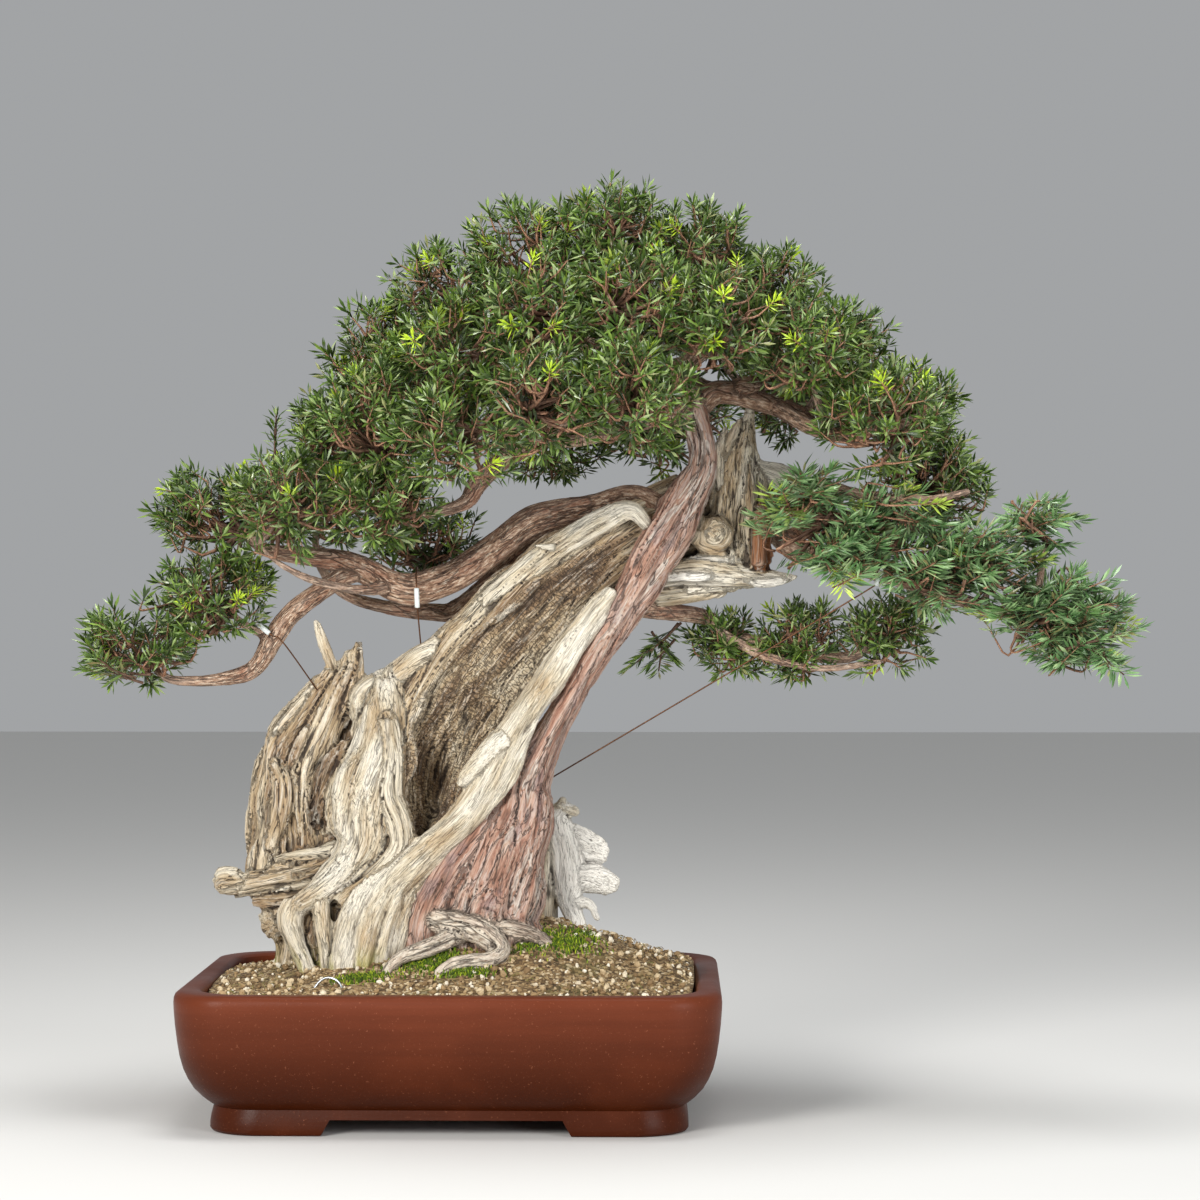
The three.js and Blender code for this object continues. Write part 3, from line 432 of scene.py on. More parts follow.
# %% The strands of the dry wood
# Each strand: name, how brown it is, how cracked it is, how deep its ridges are, then its rows of
# x, y, z, half width and half depth.
DRY_STRANDS = [
    ("trunk", 0.62, 0.9, 0.05, [
        (-20, 5, 116, 82, 56), (-22, 5, 190, 80, 58), (-24, 8, 260, 76, 55), (-16, 10, 335, 72, 49),
        (16, 12, 405, 65, 43), (64, 14, 465, 54, 37), (114, 16, 513, 43, 31), (166, 18, 552, 32, 26),
        (222, 20, 585, 26, 22)]),
    ("heartwood", 0.45, 0.5, 0.06, [
        (112, 26, 500, 28, 22), (165, 31, 528, 24, 22), (212, 35, 542, 22, 19), (256, 28, 548, 22, 19)]),
    ("right_flank", 0.3, 0.4, 0.1, [
        (62, 36, 116, 32, 28), (66, 36, 200, 30, 26), (72, 32, 262, 24, 22), (62, 28, 318, 14, 16)]),
    ("left_rim", 0.22, 0.4, 0.16, [
        (182, -18, 556, 6, 8), (166, -22, 571, 9, 8), (141, -16, 561, 12, 9), (87, -8, 527, 14, 10),
        (36, -2, 484, 17, 11), (17, -2, 458, 18, 11), (-7, 0, 441, 19, 12), (-36, -4, 431, 14, 12),
        (-62, -4, 411, 11, 12), (-88, -4, 394, 13, 12), (-96, -8, 358, 4, 4)]),
    ("left_flank", 0.2, 0.5, 0.18, [
        (-66, -2, 408, 16, 18), (-68, -10, 370, 26, 26), (-76, -18, 335, 34, 30), (-86, -26, 303, 36, 30),
        (-90, -32, 278, 31, 26), (-92, -36, 254, 26, 22), (-106, -40, 230, 20, 18),
        (-126, -42, 213, 15, 15), (-148, -44, 199, 11, 12)]),
    ("inner_ridge", 0.4, 0.5, 0.14, [
        (-64, -30, 372, 11, 10), (-60, -36, 335, 11, 12), (-62, -40, 302, 13, 13),
        (-52, -42, 276, 13, 13),
        (-50, -44, 254, 14, 13), (-62, -46, 236, 13, 13), (-84, -46, 217, 12, 12),
        (-106, -44, 202, 11, 12)]),
    ("ribbon", 0.24, 0.35, 0.16, [
        (150, -28, 494, 7, 8), (128, -33, 468, 12, 9), (92, -39, 413, 14, 11), (61, -44, 366, 17, 13),
        (48, -45, 345, 19, 14), (30, -47, 310, 17, 14), (9, -48, 280, 15, 14), (-22, -48, 252, 17, 14),
        (-54, -50, 222, 21, 16), (-68, -52, 198, 27, 19), (-78, -54, 166, 33, 20),
        (-90, -58, 112, 29, 17)]),
    ("ribbon_hook", 0.12, 0.3, 0.12, [
        (46, -48, 352, 15, 12), (28, -52, 336, 12, 8), (13, -54, 322, 8, 6), (5, -54, 312, 4, 4)]),
    ("front_leg_left", 0.25, 0.5, 0.18, [
        (-150, -44, 201, 10, 11), (-155, -47, 184, 11, 11), (-148, -50, 162, 9, 10),
        (-139, -53, 140, 8, 9), (-134, -55, 112, 8, 8)]),
    ("front_leg_right", 0.35, 0.5, 0.18, [
        (-126, -42, 208, 12, 12), (-124, -48, 180, 10, 11), (-120, -52, 152, 9, 10),
        (-116, -56, 112, 9, 9)]),
    ("leg_back", 0.9, 0.9, 0.16, [(-112, -22, 226, 14, 14), (-122, -26, 190, 24, 16),
                                  (-126, -28, 150, 26, 18), (-126, -30, 112, 26, 20)]),
    ("stump_left", 0.6, 0.85, 0.2, [
        (-119, 8, 418, 8, 8), (-138, 8, 388, 15, 14), (-167, 8, 340, 22, 20), (-176, 9, 286, 23, 23),
        (-184, 8, 220, 19, 19)]),
    ("stump_right", 0.62, 0.9, 0.2, [
        (-97, 4, 447, 3, 4), (-100, 4, 424, 9, 9), (-112, 5, 398, 14, 13), (-132, 6, 348, 19, 17),
        (-146, 7, 310, 23, 22), (-146, 10, 258, 27, 28), (-148, 10, 190, 31, 31),
        (-152, 6, 114, 28, 28)]),
    ("stump_spike", 0.5, 0.5, 0.12, [
        (-106, 4, 437, 3, 4), (-109, 4, 418, 7, 7), (-116, 5, 392, 8, 8)]),
    ("stump_blade", 0.3, 0.4, 0.08, [
        (-136, 2, 466, 3, 2), (-132, 2, 453, 6, 2.5), (-126, 3, 437, 7, 3.5), (-119, 4, 418, 6, 4),
        (-113, 5, 398, 6, 6)]),
    ("stump_bridge", 1.1, 1.0, 0.16, [
        (-84, 14, 384, 7, 9), (-106, 14, 372, 11, 12), (-112, 16, 345, 11, 16), (-104, 18, 318, 26, 24),
        (-110, 18, 284, 32, 28), (-116, 14, 114, 34, 32)]),
    ("left_branch", 0.6, 0.8, 0.2, [
        (-222, -4, 212, 6, 7), (-212, -5, 213, 12, 12), (-188, -8, 216, 12, 12), (-162, -10, 222, 12, 12),
        (-136, -12, 228, 13, 12), (-106, -14, 236, 14, 14)]),
    ("stump_block", 1.1, 1.1, 0.2, [(-104, -12, 352, 8, 8), (-112, -16, 330, 16, 13),
                                    (-124, -16, 300, 15, 12), (-132, -12, 276, 9, 9)]),
    ("stump_shelf", 0.5, 0.9, 0.2, [(-174, -10, 330, 7, 6), (-166, -14, 306, 11, 8),
                                    (-170, -14, 276, 9, 8), (-178, -8, 250, 6, 6)]),
    ("left_branch_end", 0.35, 0.8, 0.22, [(-229, -5, 209, 5, 6), (-222, -6, 213, 15, 13),
                                          (-206, -7, 216, 13, 12)]),
    ("left_branch_under", 0.85, 0.9, 0.2,
     [(-196, -8, 200, 4, 5), (-170, -12, 200, 9, 9), (-138, -14, 206, 11, 11), (-118, -14, 214, 9, 9)]),
    ("left_branch_sliver", 0.4, 0.7, 0.14, [
        (-174, -14, 239, 3, 4), (-150, -18, 243, 6, 6), (-124, -20, 247, 7, 7), (-98, -22, 253, 9, 9)]),
    ("right_root", -0.25, 0.35, 0.15, [
        (106, 22, 290, 5, 6), (94, 23, 278, 12, 10), (101, 24, 246, 19, 12), (104, 24, 214, 16, 11),
        (106, 20, 194, 9, 9), (114, 14, 172, 8, 8), (121, 10, 130, 8, 8)]),
    ("right_root_top", 0.1, 0.3, 0.1, [(96, 23, 288, 9, 9), (115, 23, 281, 4, 5)]),
    ("right_root_fan", -0.3, 0.3, 0.12, [
        (100, 24, 260, 14, 10), (120, 24, 250, 15, 7), (136, 23, 243, 12, 4), (144, 22, 240, 6, 2.5)]),
    ("right_root_fin", -0.3, 0.3, 0.12, [
        (104, 24, 222, 17, 10), (126, 24, 219, 17, 7), (144, 24, 214, 14, 4), (154, 23, 211, 7, 2.5)]),
    ("right_root_finger", -0.25, 0.3, 0.1, [
        (108, 20, 194, 7, 7), (125, 18, 194, 5, 5), (134, 17, 179, 2.5, 2.5)]),
    ("top_flame", 0.3, 0.8, 0.18, [
        (262, 22, 500, 26, 14), (262, 22, 525, 34, 20), (265, 22, 552, 31, 20), (268, 20, 584, 25, 18),
        (270, 18, 610, 19, 15), (272, 16, 632, 13, 11), (277, 15, 652, 8, 7), (281, 14, 678, 1.5, 1.5)]),
    ("top_log", 0.08, 0.5, 0.12, [
        (190, 14, 508, 12, 16), (226, 10, 513, 13, 15), (260, 8, 511, 12, 13), (290, 7, 508, 9, 10),
        (310, 7, 507, 6, 7), (324, 7, 508, 2, 2.5)]),
    ("top_log_back", 0.3, 0.5, 0.12, [
        (188, 18, 490, 12, 14), (222, 18, 494, 11, 12), (250, 16, 498, 8, 10), (274, 14, 501, 3, 5)]),
    ("top_spike", 0.35, 0.5, 0.1, [
        (253, 16, 596, 10, 9), (251, 15, 624, 7, 6), (254, 14, 641, 4, 4), (256, 14, 653, 1.5, 1.5)]),
    ("top_plank", -0.1, 0.4, 0.1, [
        (284, 16, 612, 9, 6), (304, 15, 606, 14, 5), (322, 14, 598, 13, 5), (337, 13, 588, 10, 4),
        (346, 12, 572, 3, 2.5)]),
    ("top_post", 1.4, 1.0, 0.2, [(290, 4, 520, 11, 10), (292, 4, 552, 11, 10), (290, 6, 574, 6, 7)]),
    ("trunk_twig", 0.3, 0.2, 0.0, [(92, -18, 536, 3), (73, -20, 538, 1.2)]),
    ("swirl_knot", 0.45, 0.5, 0.2, [(246, -14, 550, 4, 4), (246, -4, 549, 19, 19),
                                    (246, 14, 547, 20, 20)]),
    ("foot_knot", 0.4, 0.6, 0.16, [(-164, -16, 186, 6, 8), (-167, -6, 182, 20, 24),
                                   (-168, 14, 178, 22, 24)]),
    ("knee_knot", 0.35, 0.5, 0.12, [(-121, -18, 268, 3, 3), (-121, -10, 268, 11, 12),
                                    (-120, 6, 268, 13, 13)]),
    ("left_knot", 0.4, 0.5, 0.12, [(-140, -15, 284, 3, 3), (-140, -8, 284, 10, 11),
                                   (-139, 8, 284, 12, 12)]),
]
STUMPS = ("stump_left", "stump_right", "stump_bridge", "left_branch", "top_flame", "top_log")
TRUNK_HOLLOW = [
    (188, -34, 552, 9, 14), (150, -36, 536, 22, 24), (112, -38, 500, 32, 30), (72, -40, 455, 38, 34),
    (34, -42, 408, 46, 40), (2, -42, 362, 46, 46), (-20, -42, 322, 33, 52), (-30, -46, 285, 22, 44),
    (-36, -50, 262, 9, 26)]
TOP_SLOT = [(276, -8, 604, 4, 12), (276, -8, 574, 9, 20), (273, -8, 548, 12, 22), (270, -8, 524, 8, 16)]
RING_STEP = 3.0


def thin_out(piece, share):
    """Keeps this share of a skin's triangles, most of them where it bends."""
    change(piece, "DECIMATE", ratio=share)


def strand_tube(depth, rows, number):
    """A strand with ridges, fewer of them where it is thin."""
    line = course(rows, RING_STEP)
    folds = 1.2 if line["half"].max() < 16 else 2.6
    return tube(line, points_around(line, 14), depth, folds, reach=110, twist=0.12, seed=number)


def strand_number(name):
    return [strand[0] for strand in DRY_STRANDS].index(name)


print("strands of dry wood", len(DRY_STRANDS))

# %% Cut the hollows, then melt the strands into one skin
SKIN_GRAIN = 0.0024


def cut_hollow(body, rows, depth, number):
    """Cuts a ridged hollow out of a closed strand."""
    combine(body, mesh_piece("hollow_cutter", *strand_tube(depth, rows, number)), "DIFFERENCE")


def melt(name, pieces, grain, smoothing):
    """Makes closed pieces into one and gives them one skin."""
    whole = pieces[0]
    whole.name = name
    for piece in pieces[1:]:
        combine(whole, piece, "UNION")
    change(whole, "REMESH", mode="VOXEL", voxel_size=grain, use_smooth_shade=True)
    change(whole, "SMOOTH", factor=0.5, iterations=smoothing)
    return whole


def splinters(rows, count, random):
    """Rows for thin broken slivers that lie along the outside of a strand."""
    line = course(rows, 4.0)
    made = []
    for _ in range(count):
        long = min(random.uniform(28, 80), 0.8 * line["run"][-1])
        first = random.uniform(0, line["run"][-1] - long)
        turn = random.uniform(0, 2 * np.pi)
        sliver = []
        for share in (0.0, 0.3, 0.7, 1.0):
            spot = min(int(np.searchsorted(line["run"], first + share * long)), len(line["run"]) - 1)
            out = line["side"][spot] * np.cos(turn) * line["half"][spot, 0] \
                + line["deep"][spot] * np.sin(turn) * line["half"][spot, 1]
            lift = 1.02 + random.uniform(0.0, 0.12)
            wander = random.normal(0, 0.8, 3)
            middle = line["middle"][spot] + out * lift + wander + line["along"][spot] * 6 * (share - 0.5)
            thick = 4.4 if 0 < share < 1 else 1.3
            sliver.append((*middle, random.uniform(0.8, 1.3) * thick, random.uniform(0.6, 1.0) * thick))
        made.append(sliver)
    return made


splinter_dice = np.random.RandomState(12)
for name, brown, cracked, _, rows in [strand for strand in DRY_STRANDS if strand[0] in STUMPS]:
    for sliver in splinters(rows, 9 if name.startswith("stump") else 6, splinter_dice):
        DRY_STRANDS.append(("splinter", brown + splinter_dice.uniform(-0.35, 0.2), cracked, 0.14, sliver))
strand_pieces = []
for number, (name, _, _, depth, rows) in enumerate(DRY_STRANDS):
    strand_pieces.append(mesh_piece("strand_" + name, *strand_tube(depth, rows, number)))
cut_hollow(strand_pieces[0], TRUNK_HOLLOW, depth=0.09, number=90)
cut_hollow(strand_pieces[strand_number("top_flame")], TOP_SLOT, depth=0.1, number=91)
dry_wood = melt("dry_wood", strand_pieces, SKIN_GRAIN, smoothing=2)
print("dry wood", len(dry_wood.data.vertices), "points", count_triangles(dry_wood), "triangles")

# %% [markdown]
# The skin no longer knows which strand a point came from, but the grain has to follow the strands.
# So each point looks for the strand whose surface is nearest, and stores how far along and across
# that strand it lies. Colour and cracking fade over where two strands meet.

# %% Which strand a point belongs to, and how deep in a crease it lies
def along_strands(points, strands):
    """For each point and strand: how near, as a share of the strand's thickness, and where."""
    near = np.full((len(strands), len(points)), 9.0, np.float32)
    where = np.zeros((len(strands), len(points), 3), np.float32)
    for number, rows in enumerate(strands):
        line = course(rows, 5.0)
        margin = 1.6 * line["half"].max() + 8
        low, high = line["middle"].min(0) - margin, line["middle"].max(0) + margin
        inside = np.all((points > low) & (points < high), 1)
        chosen = np.flatnonzero(inside)
        if not len(chosen):
            continue
        offset = points[chosen][:, None] - line["middle"][None]
        closest = (offset**2).sum(-1).argmin(1)
        offset = offset[np.arange(len(chosen)), closest]
        half = line["half"][closest]
        across = (offset * line["side"][closest]).sum(-1)
        through = (offset * line["deep"][closest]).sum(-1)
        beyond = (offset * line["along"][closest]).sum(-1)
        near[number, chosen] = np.sqrt((across / half[:, 0])**2 + (through / half[:, 1])**2
                                       + (beyond / half.max(1))**2)
        where[number, chosen] = np.stack([across, through, line["run"][closest] + beyond + 61.0 * number],
                                         -1)
    return near, where


# The depth of a crease sets where shade and edge highlights are painted on the wood.
def crease_depth(piece, rounds=3):
    """How deep each point lies in a crease (above 0) or how far out on an edge (below 0), in mm."""
    points, normals = read_points(piece), read_normals(piece)
    edges = np.empty(2 * len(piece.data.edges), np.int32)
    piece.data.edges.foreach_get("vertices", edges)
    one, two = edges.reshape(-1, 2).T
    count = np.bincount(one, minlength=len(points)) + np.bincount(two, minlength=len(points))

    def spread(values):
        total = np.zeros_like(values)
        np.add.at(total, one, values[two])
        np.add.at(total, two, values[one])
        return total / np.maximum(count, 1).reshape(-1, *[1] * (values.ndim - 1))

    blurred = points
    for _ in range(rounds):
        blurred = spread(blurred)
    return (normals * (blurred - points)).sum(-1)


def grain_of(points, strands):
    """For each point: its nearest strand, where it lies on it, and every strand's share in it."""
    near, where = along_strands(points, [strand[-1] for strand in strands])
    best = near.argmin(0)
    closeness = np.exp(-9 * (near - near.min(0)))
    closeness /= closeness.sum(0)
    return best, where[best, np.arange(len(points))], closeness


def mixed(strands, column, closeness):
    """A number from the strands' table, fading over where two strands meet."""
    return (closeness * np.array([strand[column] for strand in strands])[:, None]).sum(0)


print("strands to follow", len(DRY_STRANDS))

# %% Grain and tone of the dry wood
points = read_points(dry_wood)
best, grain, closeness = grain_of(points, DRY_STRANDS)
knot = best == strand_number("swirl_knot")
round_knot = np.hypot(grain[knot, 0], grain[knot, 1])
round_knot = round_knot + 5 * noise(points[knot] * 0.07, 51)
knot_turn = np.arctan2(grain[knot, 1], grain[knot, 0])
grain[knot] = np.stack([1.4 * round_knot, 0 * round_knot, 18 * knot_turn], -1)
brown = mixed(DRY_STRANDS, 1, closeness)
cracked = mixed(DRY_STRANDS, 2, closeness)
in_hollow = np.clip(3.2 - 2.4 * along_strands(points, [TRUNK_HOLLOW])[0][0], 0, 1) * closeness[0]
fibres = 1.4 * (np.abs(noise(grain * [0.1, 0.1, 0.008], 5)) - 0.25)
fibres += 0.8 * (np.abs(noise(grain * [0.24, 0.24, 0.016], 6)) - 0.25)
steps = np.round(3 * noise(grain * [0.06, 0.06, 0.028], 9)) / 3 * np.clip(cracked - 0.45, 0, 1)
grooves = np.exp(-(noise(grain * [0.12, 0.12, 0.009], 10) / 0.1)**2) * np.clip(cracked - 0.1, 0, 1)
push = fibres * (0.8 + 1.3 * cracked) * (1 - 0.6 * in_hollow) + 4.2 * steps
push_out(dry_wood, points, push - 3.4 * grooves * (1 - 0.5 * in_hollow))
# Crease depth, from which the finish paints shade into creases and highlights onto edges.
creases = crease_depth(dry_wood)
print("crease depth", creases.min().round(2), creases.max().round(2), "mm")
give_values(dry_wood, "grain", grain)
give_values(dry_wood, "tone", np.stack([brown, cracked, creases, in_hollow], -1), "FLOAT_COLOR")
thin_out(dry_wood, share=0.76)
print("dry wood", count_triangles(dry_wood), "triangles")

# %% [markdown]
# Bare yew wood bleaches to cream and silver where it is sound, and stays brown where it rots. Fine
# grey lines run with the grain everywhere. Inside the hollow the old rot has split into small
# blocks, so cross cracks are added there. Shade is painted dark into the creases, and a highlight
# is painted pale along the edges.

# %% Finish of the dry wood
dry = Finish("bare_silver_wood", roughness=0.75)
grain_place = dry.stored("grain")
brown_red, cracked_green, crease_shading_blue = dry.split(dry.stored("tone", "Color"))
hollow_share = dry.stored("tone", "Alpha")
streaks = dry.grained(0.55, 0.03, 4, 0.6)
hairs = dry.grained(1.6, 0.06, 3, 0.6, 0.4)
patches = dry.grained(0.045, 0.012, 3, 0.55)
brownness = dry.plus(dry.times(brown_red, 0.85), dry.span(patches, 0.35, 0.72, -0.18, 0.3))
low_share = dry.span(dry.split(dry.place())[2], 0.26, 0.42, 0.1, 0.0)
high_share = dry.span(dry.split(dry.place())[2], 0.42, 0.54, 0.0, 0.26)
brownness = dry.plus(brownness, dry.times(hollow_share, dry.plus(low_share, high_share)))
wood_colour = dry.colours(
    brownness, (0.0, 240, 233, 216), (0.25, 220, 207, 180), (0.5, 194, 170, 134),
    (0.75, 152, 124, 92), (0.92, 112, 86, 62), (1.0, 74, 57, 43))
wood_colour = dry.layered(
    wood_colour,
    (dry.span(streaks, 0.48, 0.7, 0, 0.6), (134, 112, 86)),
    (dry.span(streaks, 0.5, 0.3, 0, 0.45), (246, 240, 226)),
    (dry.span(brown_red, -0.05, -0.22, 0, 0.75), (255, 252, 244)),
    (dry.span(hairs, 0.53, 0.66, 0, 0.75), (78, 64, 50)))
print("colours of the dry wood", len(dry.tree.nodes), "nodes")

# %% Cracks, painted crease shade, painted edge highlights and relief of the dry wood
splits = dry.midway(dry.grained(0.16, 0.012, 3, 0.6, 0.6))
split_mask = dry.times(dry.span(splits, 0.0, 0.022, 1, 0), dry.span(cracked_green, 0.1, 0.8))
wobble = dry.node("TexNoise", {"Vector": grain_place, "Scale": 0.12}).outputs["Color"]
bent_place = dry.node("Mix", {0: 0.12, 4: grain_place, 5: wobble}, data_type="VECTOR").outputs[1]
blocks = dry.cells(dry.stretched(bent_place, (0.1, 0.1, 0.16)), 1.0, "DISTANCE_TO_EDGE")
checks = dry.cells(dry.stretched(bent_place, (0.15, 0.15, 0.34)), 1.0, "DISTANCE_TO_EDGE")
block_mask = dry.times(dry.span(blocks, 0.01, 0.06, 0.8, 0), dry.span(patches, 0.5, 0.62))
check_mask = dry.times(dry.span(checks, 0.01, 0.1, 0.75, 0), dry.span(streaks, 0.38, 0.52))
block_mask = dry.times(dry.larger(block_mask, check_mask), dry.span(hollow_share, 0.25, 0.8))
cracks = dry.larger(split_mask, block_mask)
wood_colour = dry.layered(
    wood_colour,
    (dry.times(cracks, 0.8), (58, 44, 34)),
    # Painted shade darkens the creases, and a painted highlight lightens the edges.
    (dry.span(crease_shading_blue, 0.1, 1.1, 0, 0.9), (52, 39, 29)),
    (dry.span(crease_shading_blue, -1.6, -0.2, 0.5, 0), (244, 238, 222)))
rust = dry.times(dry.span(brown_red, 1.15, 1.35, 0, 0.7), dry.span(streaks, 0.3, 0.6, 0.3, 1))
wood_colour = dry.blend(rust, wood_colour, (158, 98, 56))
damp = dry.span(dry.split(dry.place())[2], 0.118, 0.17, 0.95, 0)
wood_colour = dry.blend(dry.times(damp, dry.span(patches, 0.42, 0.6)), wood_colour, (160, 166, 40))
height = dry.minus(dry.times(streaks, 0.7), dry.times(cracks, 0.9))
height = dry.minus(height, dry.times(hairs, 0.3))
cover(dry_wood, dry.finish(
    wood_colour, dry.relief(height, 0.003), dry.span(brownness, 0, 1, 0.62, 0.85)))
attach(dry_wood, "root")
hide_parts("deadwood")
print("dry wood finished")

# %% [markdown]
# ## The living wood
#
# One vein of living bark runs from the soil to the crown on the right of the dry wood, and the
# limbs grow out of it. They are strands again, melted together so that each limb swells out of the
# trunk instead of poking into it. Every foliage pad is reached by a limb, so the pads' places come
# first, and the limbs into them are worked out.

# %% The living limbs and the pads that they carry
VEIN = [
    (32, -28, 120, 76, 42), (28, -28, 184, 67, 40), (38, -26, 216, 56, 38), (63, -21, 284, 32, 32),
    (68, -18, 312, 23, 27), (92, -18, 366, 15, 22), (127, -18, 426, 14, 20), (160, -18, 481, 17, 21),
    (190, -16, 531, 25, 22), (222, -6, 586, 19, 20), (234, 0, 616, 15, 17), (232, 4, 646, 14, 15),
    (220, 6, 678, 14, 14), (196, 8, 706, 13, 13), (168, 10, 730, 12, 12), (146, 12, 758, 10, 10),
    (140, 10, 796, 5, 5)]
# Each limb: name, how red its bark is, how deep its ridges are, rows of x, y, z and half width.
MAIN_LIMBS = [
    ("left_main", 0.3, 0.1, [
        (206, -2, 570, 12), (172, 22, 584, 14), (136, 32, 576, 15), (76, 28, 562, 16), (40, 20, 538, 15),
        (2, 12, 512, 15), (-34, 5, 497, 16), (-60, 0, 498, 15), (-107, 0, 522, 11), (-176, -8, 532, 7),
        (-205, -4, 548, 4)]),
    ("left_low", 0.3, 0.12, [
        (-84, 0, 514, 9), (-112, -2, 506, 10), (-154, -6, 478, 10), (-176, -8, 450, 11),
        (-202, -10, 416, 8), (-268, -14, 410, 5), (-296, -15, 430, 3)]),
    ("left_upper", 0.3, 0.1, [
        (224, 6, 668, 12), (138, 4, 678, 12), (84, 0, 650, 11), (24, -14, 602, 9), (4, -22, 576, 7),
        (-56, -74, 560, 3)]),
    ("left_back", 0.3, 0.1, [
        (82, 30, 560, 12), (58, 46, 530, 11), (0, 64, 480, 9), (-30, 67, 474, 8), (-106, 64, 488, 6),
        (-138, 68, 520, 5), (-146, 76, 566, 2.5)]),
    ("right_low", 0.35, 0.1, [
        (230, 4, 604, 12), (252, 48, 602, 12), (286, 62, 576, 12), (312, 40, 546, 12), (336, -6, 530, 11),
        (400, -48, 512, 9), (514, -58, 474, 6), (562, -61, 464, 2.5)]),
    ("right_under", 0.3, 0.1, [
        (162, -12, 482, 11), (184, 18, 477, 10), (240, 62, 468, 8), (272, 64, 448, 8), (372, 60, 430, 6),
        (404, 58, 452, 2.5)]),
    ("right_upper", 0.3, 0.1, [
        (226, 6, 664, 11), (250, 12, 684, 12), (302, 8, 672, 10), (374, 0, 641, 7), (408, 0, 656, 2.5)]),
    ("right_middle", 0.3, 0.1, [
        (252, 48, 602, 10), (296, 56, 592, 8), (380, 8, 560, 7), (442, -5, 594, 2.5)]),
    ("right_arc_top", 0.3, 0.1, [
        (302, 8, 672, 8), (338, -30, 648, 7), (374, -60, 640, 6), (418, -80, 650, 4.5),
        (458, -84, 668, 3)]),
    ("right_arc_middle", 0.3, 0.1, [
        (296, 56, 592, 8), (340, 0, 596, 7), (388, -40, 584, 6), (446, -50, 580, 5), (484, -48, 588, 3)]),
    ("right_arc_low", 0.3, 0.1, [(312, 40, 546, 7), (362, -20, 566, 6), (402, -50, 556, 5),
                                 (440, -60, 552, 3)]),
    ("under_arc", 0.3, 0.1, [
        (236, 60, 470, 6), (262, 40, 448, 5.5), (300, 34, 430, 5), (350, 38, 420, 4),
        (408, 44, 426, 2.5)]),
    ("left_arc", 0.3, 0.1, [
        (-60, 0, 498, 8), (-96, -40, 496, 5), (-136, -60, 506, 4), (-168, -66, 524, 3),
        (-190, -62, 546, 1.6)]),
    ("old_cut", 0.3, 0.1, [(262, 12, 684, 11), (276, 12, 686, 14), (290, 12, 688, 9)]),
]
ROOTS = [
    ("vein_foot", 0.9, 0.14, [
        (-30, -50, 116, 20, 15), (-27, -50, 180, 18, 14), (-8, -48, 222, 16, 13), (16, -42, 258, 13, 12),
        (40, -34, 292, 9, 10)]),
    ("curled_root", 0.0, 0.16, [
        (-34, -46, 188, 9, 9), (-8, -62, 184, 12, 11), (16, -72, 180, 11, 10), (36, -78, 170, 10, 9),
        (45, -83, 159, 9, 9),
        (36, -90, 152, 8, 9), (20, -94, 151, 8, 9), (3, -98, 147, 7, 9), (-9, -102, 139, 6, 8),
        (-14, -105, 128, 5, 6)]),
    ("left_root", 0.0, 0.16, [
        (2, -66, 172, 9, 9), (-22, -82, 162, 9, 9), (-44, -88, 154, 8, 9), (-57, -92, 143, 7, 8),
        (-61, -94, 130, 5, 6)]),
    ("right_swelling_root", 0.0, 0.14, [
        (10, -70, 176, 9, 10), (40, -66, 178, 10, 10), (70, -58, 172, 9, 9), (92, -52, 160, 6, 7)]),
]
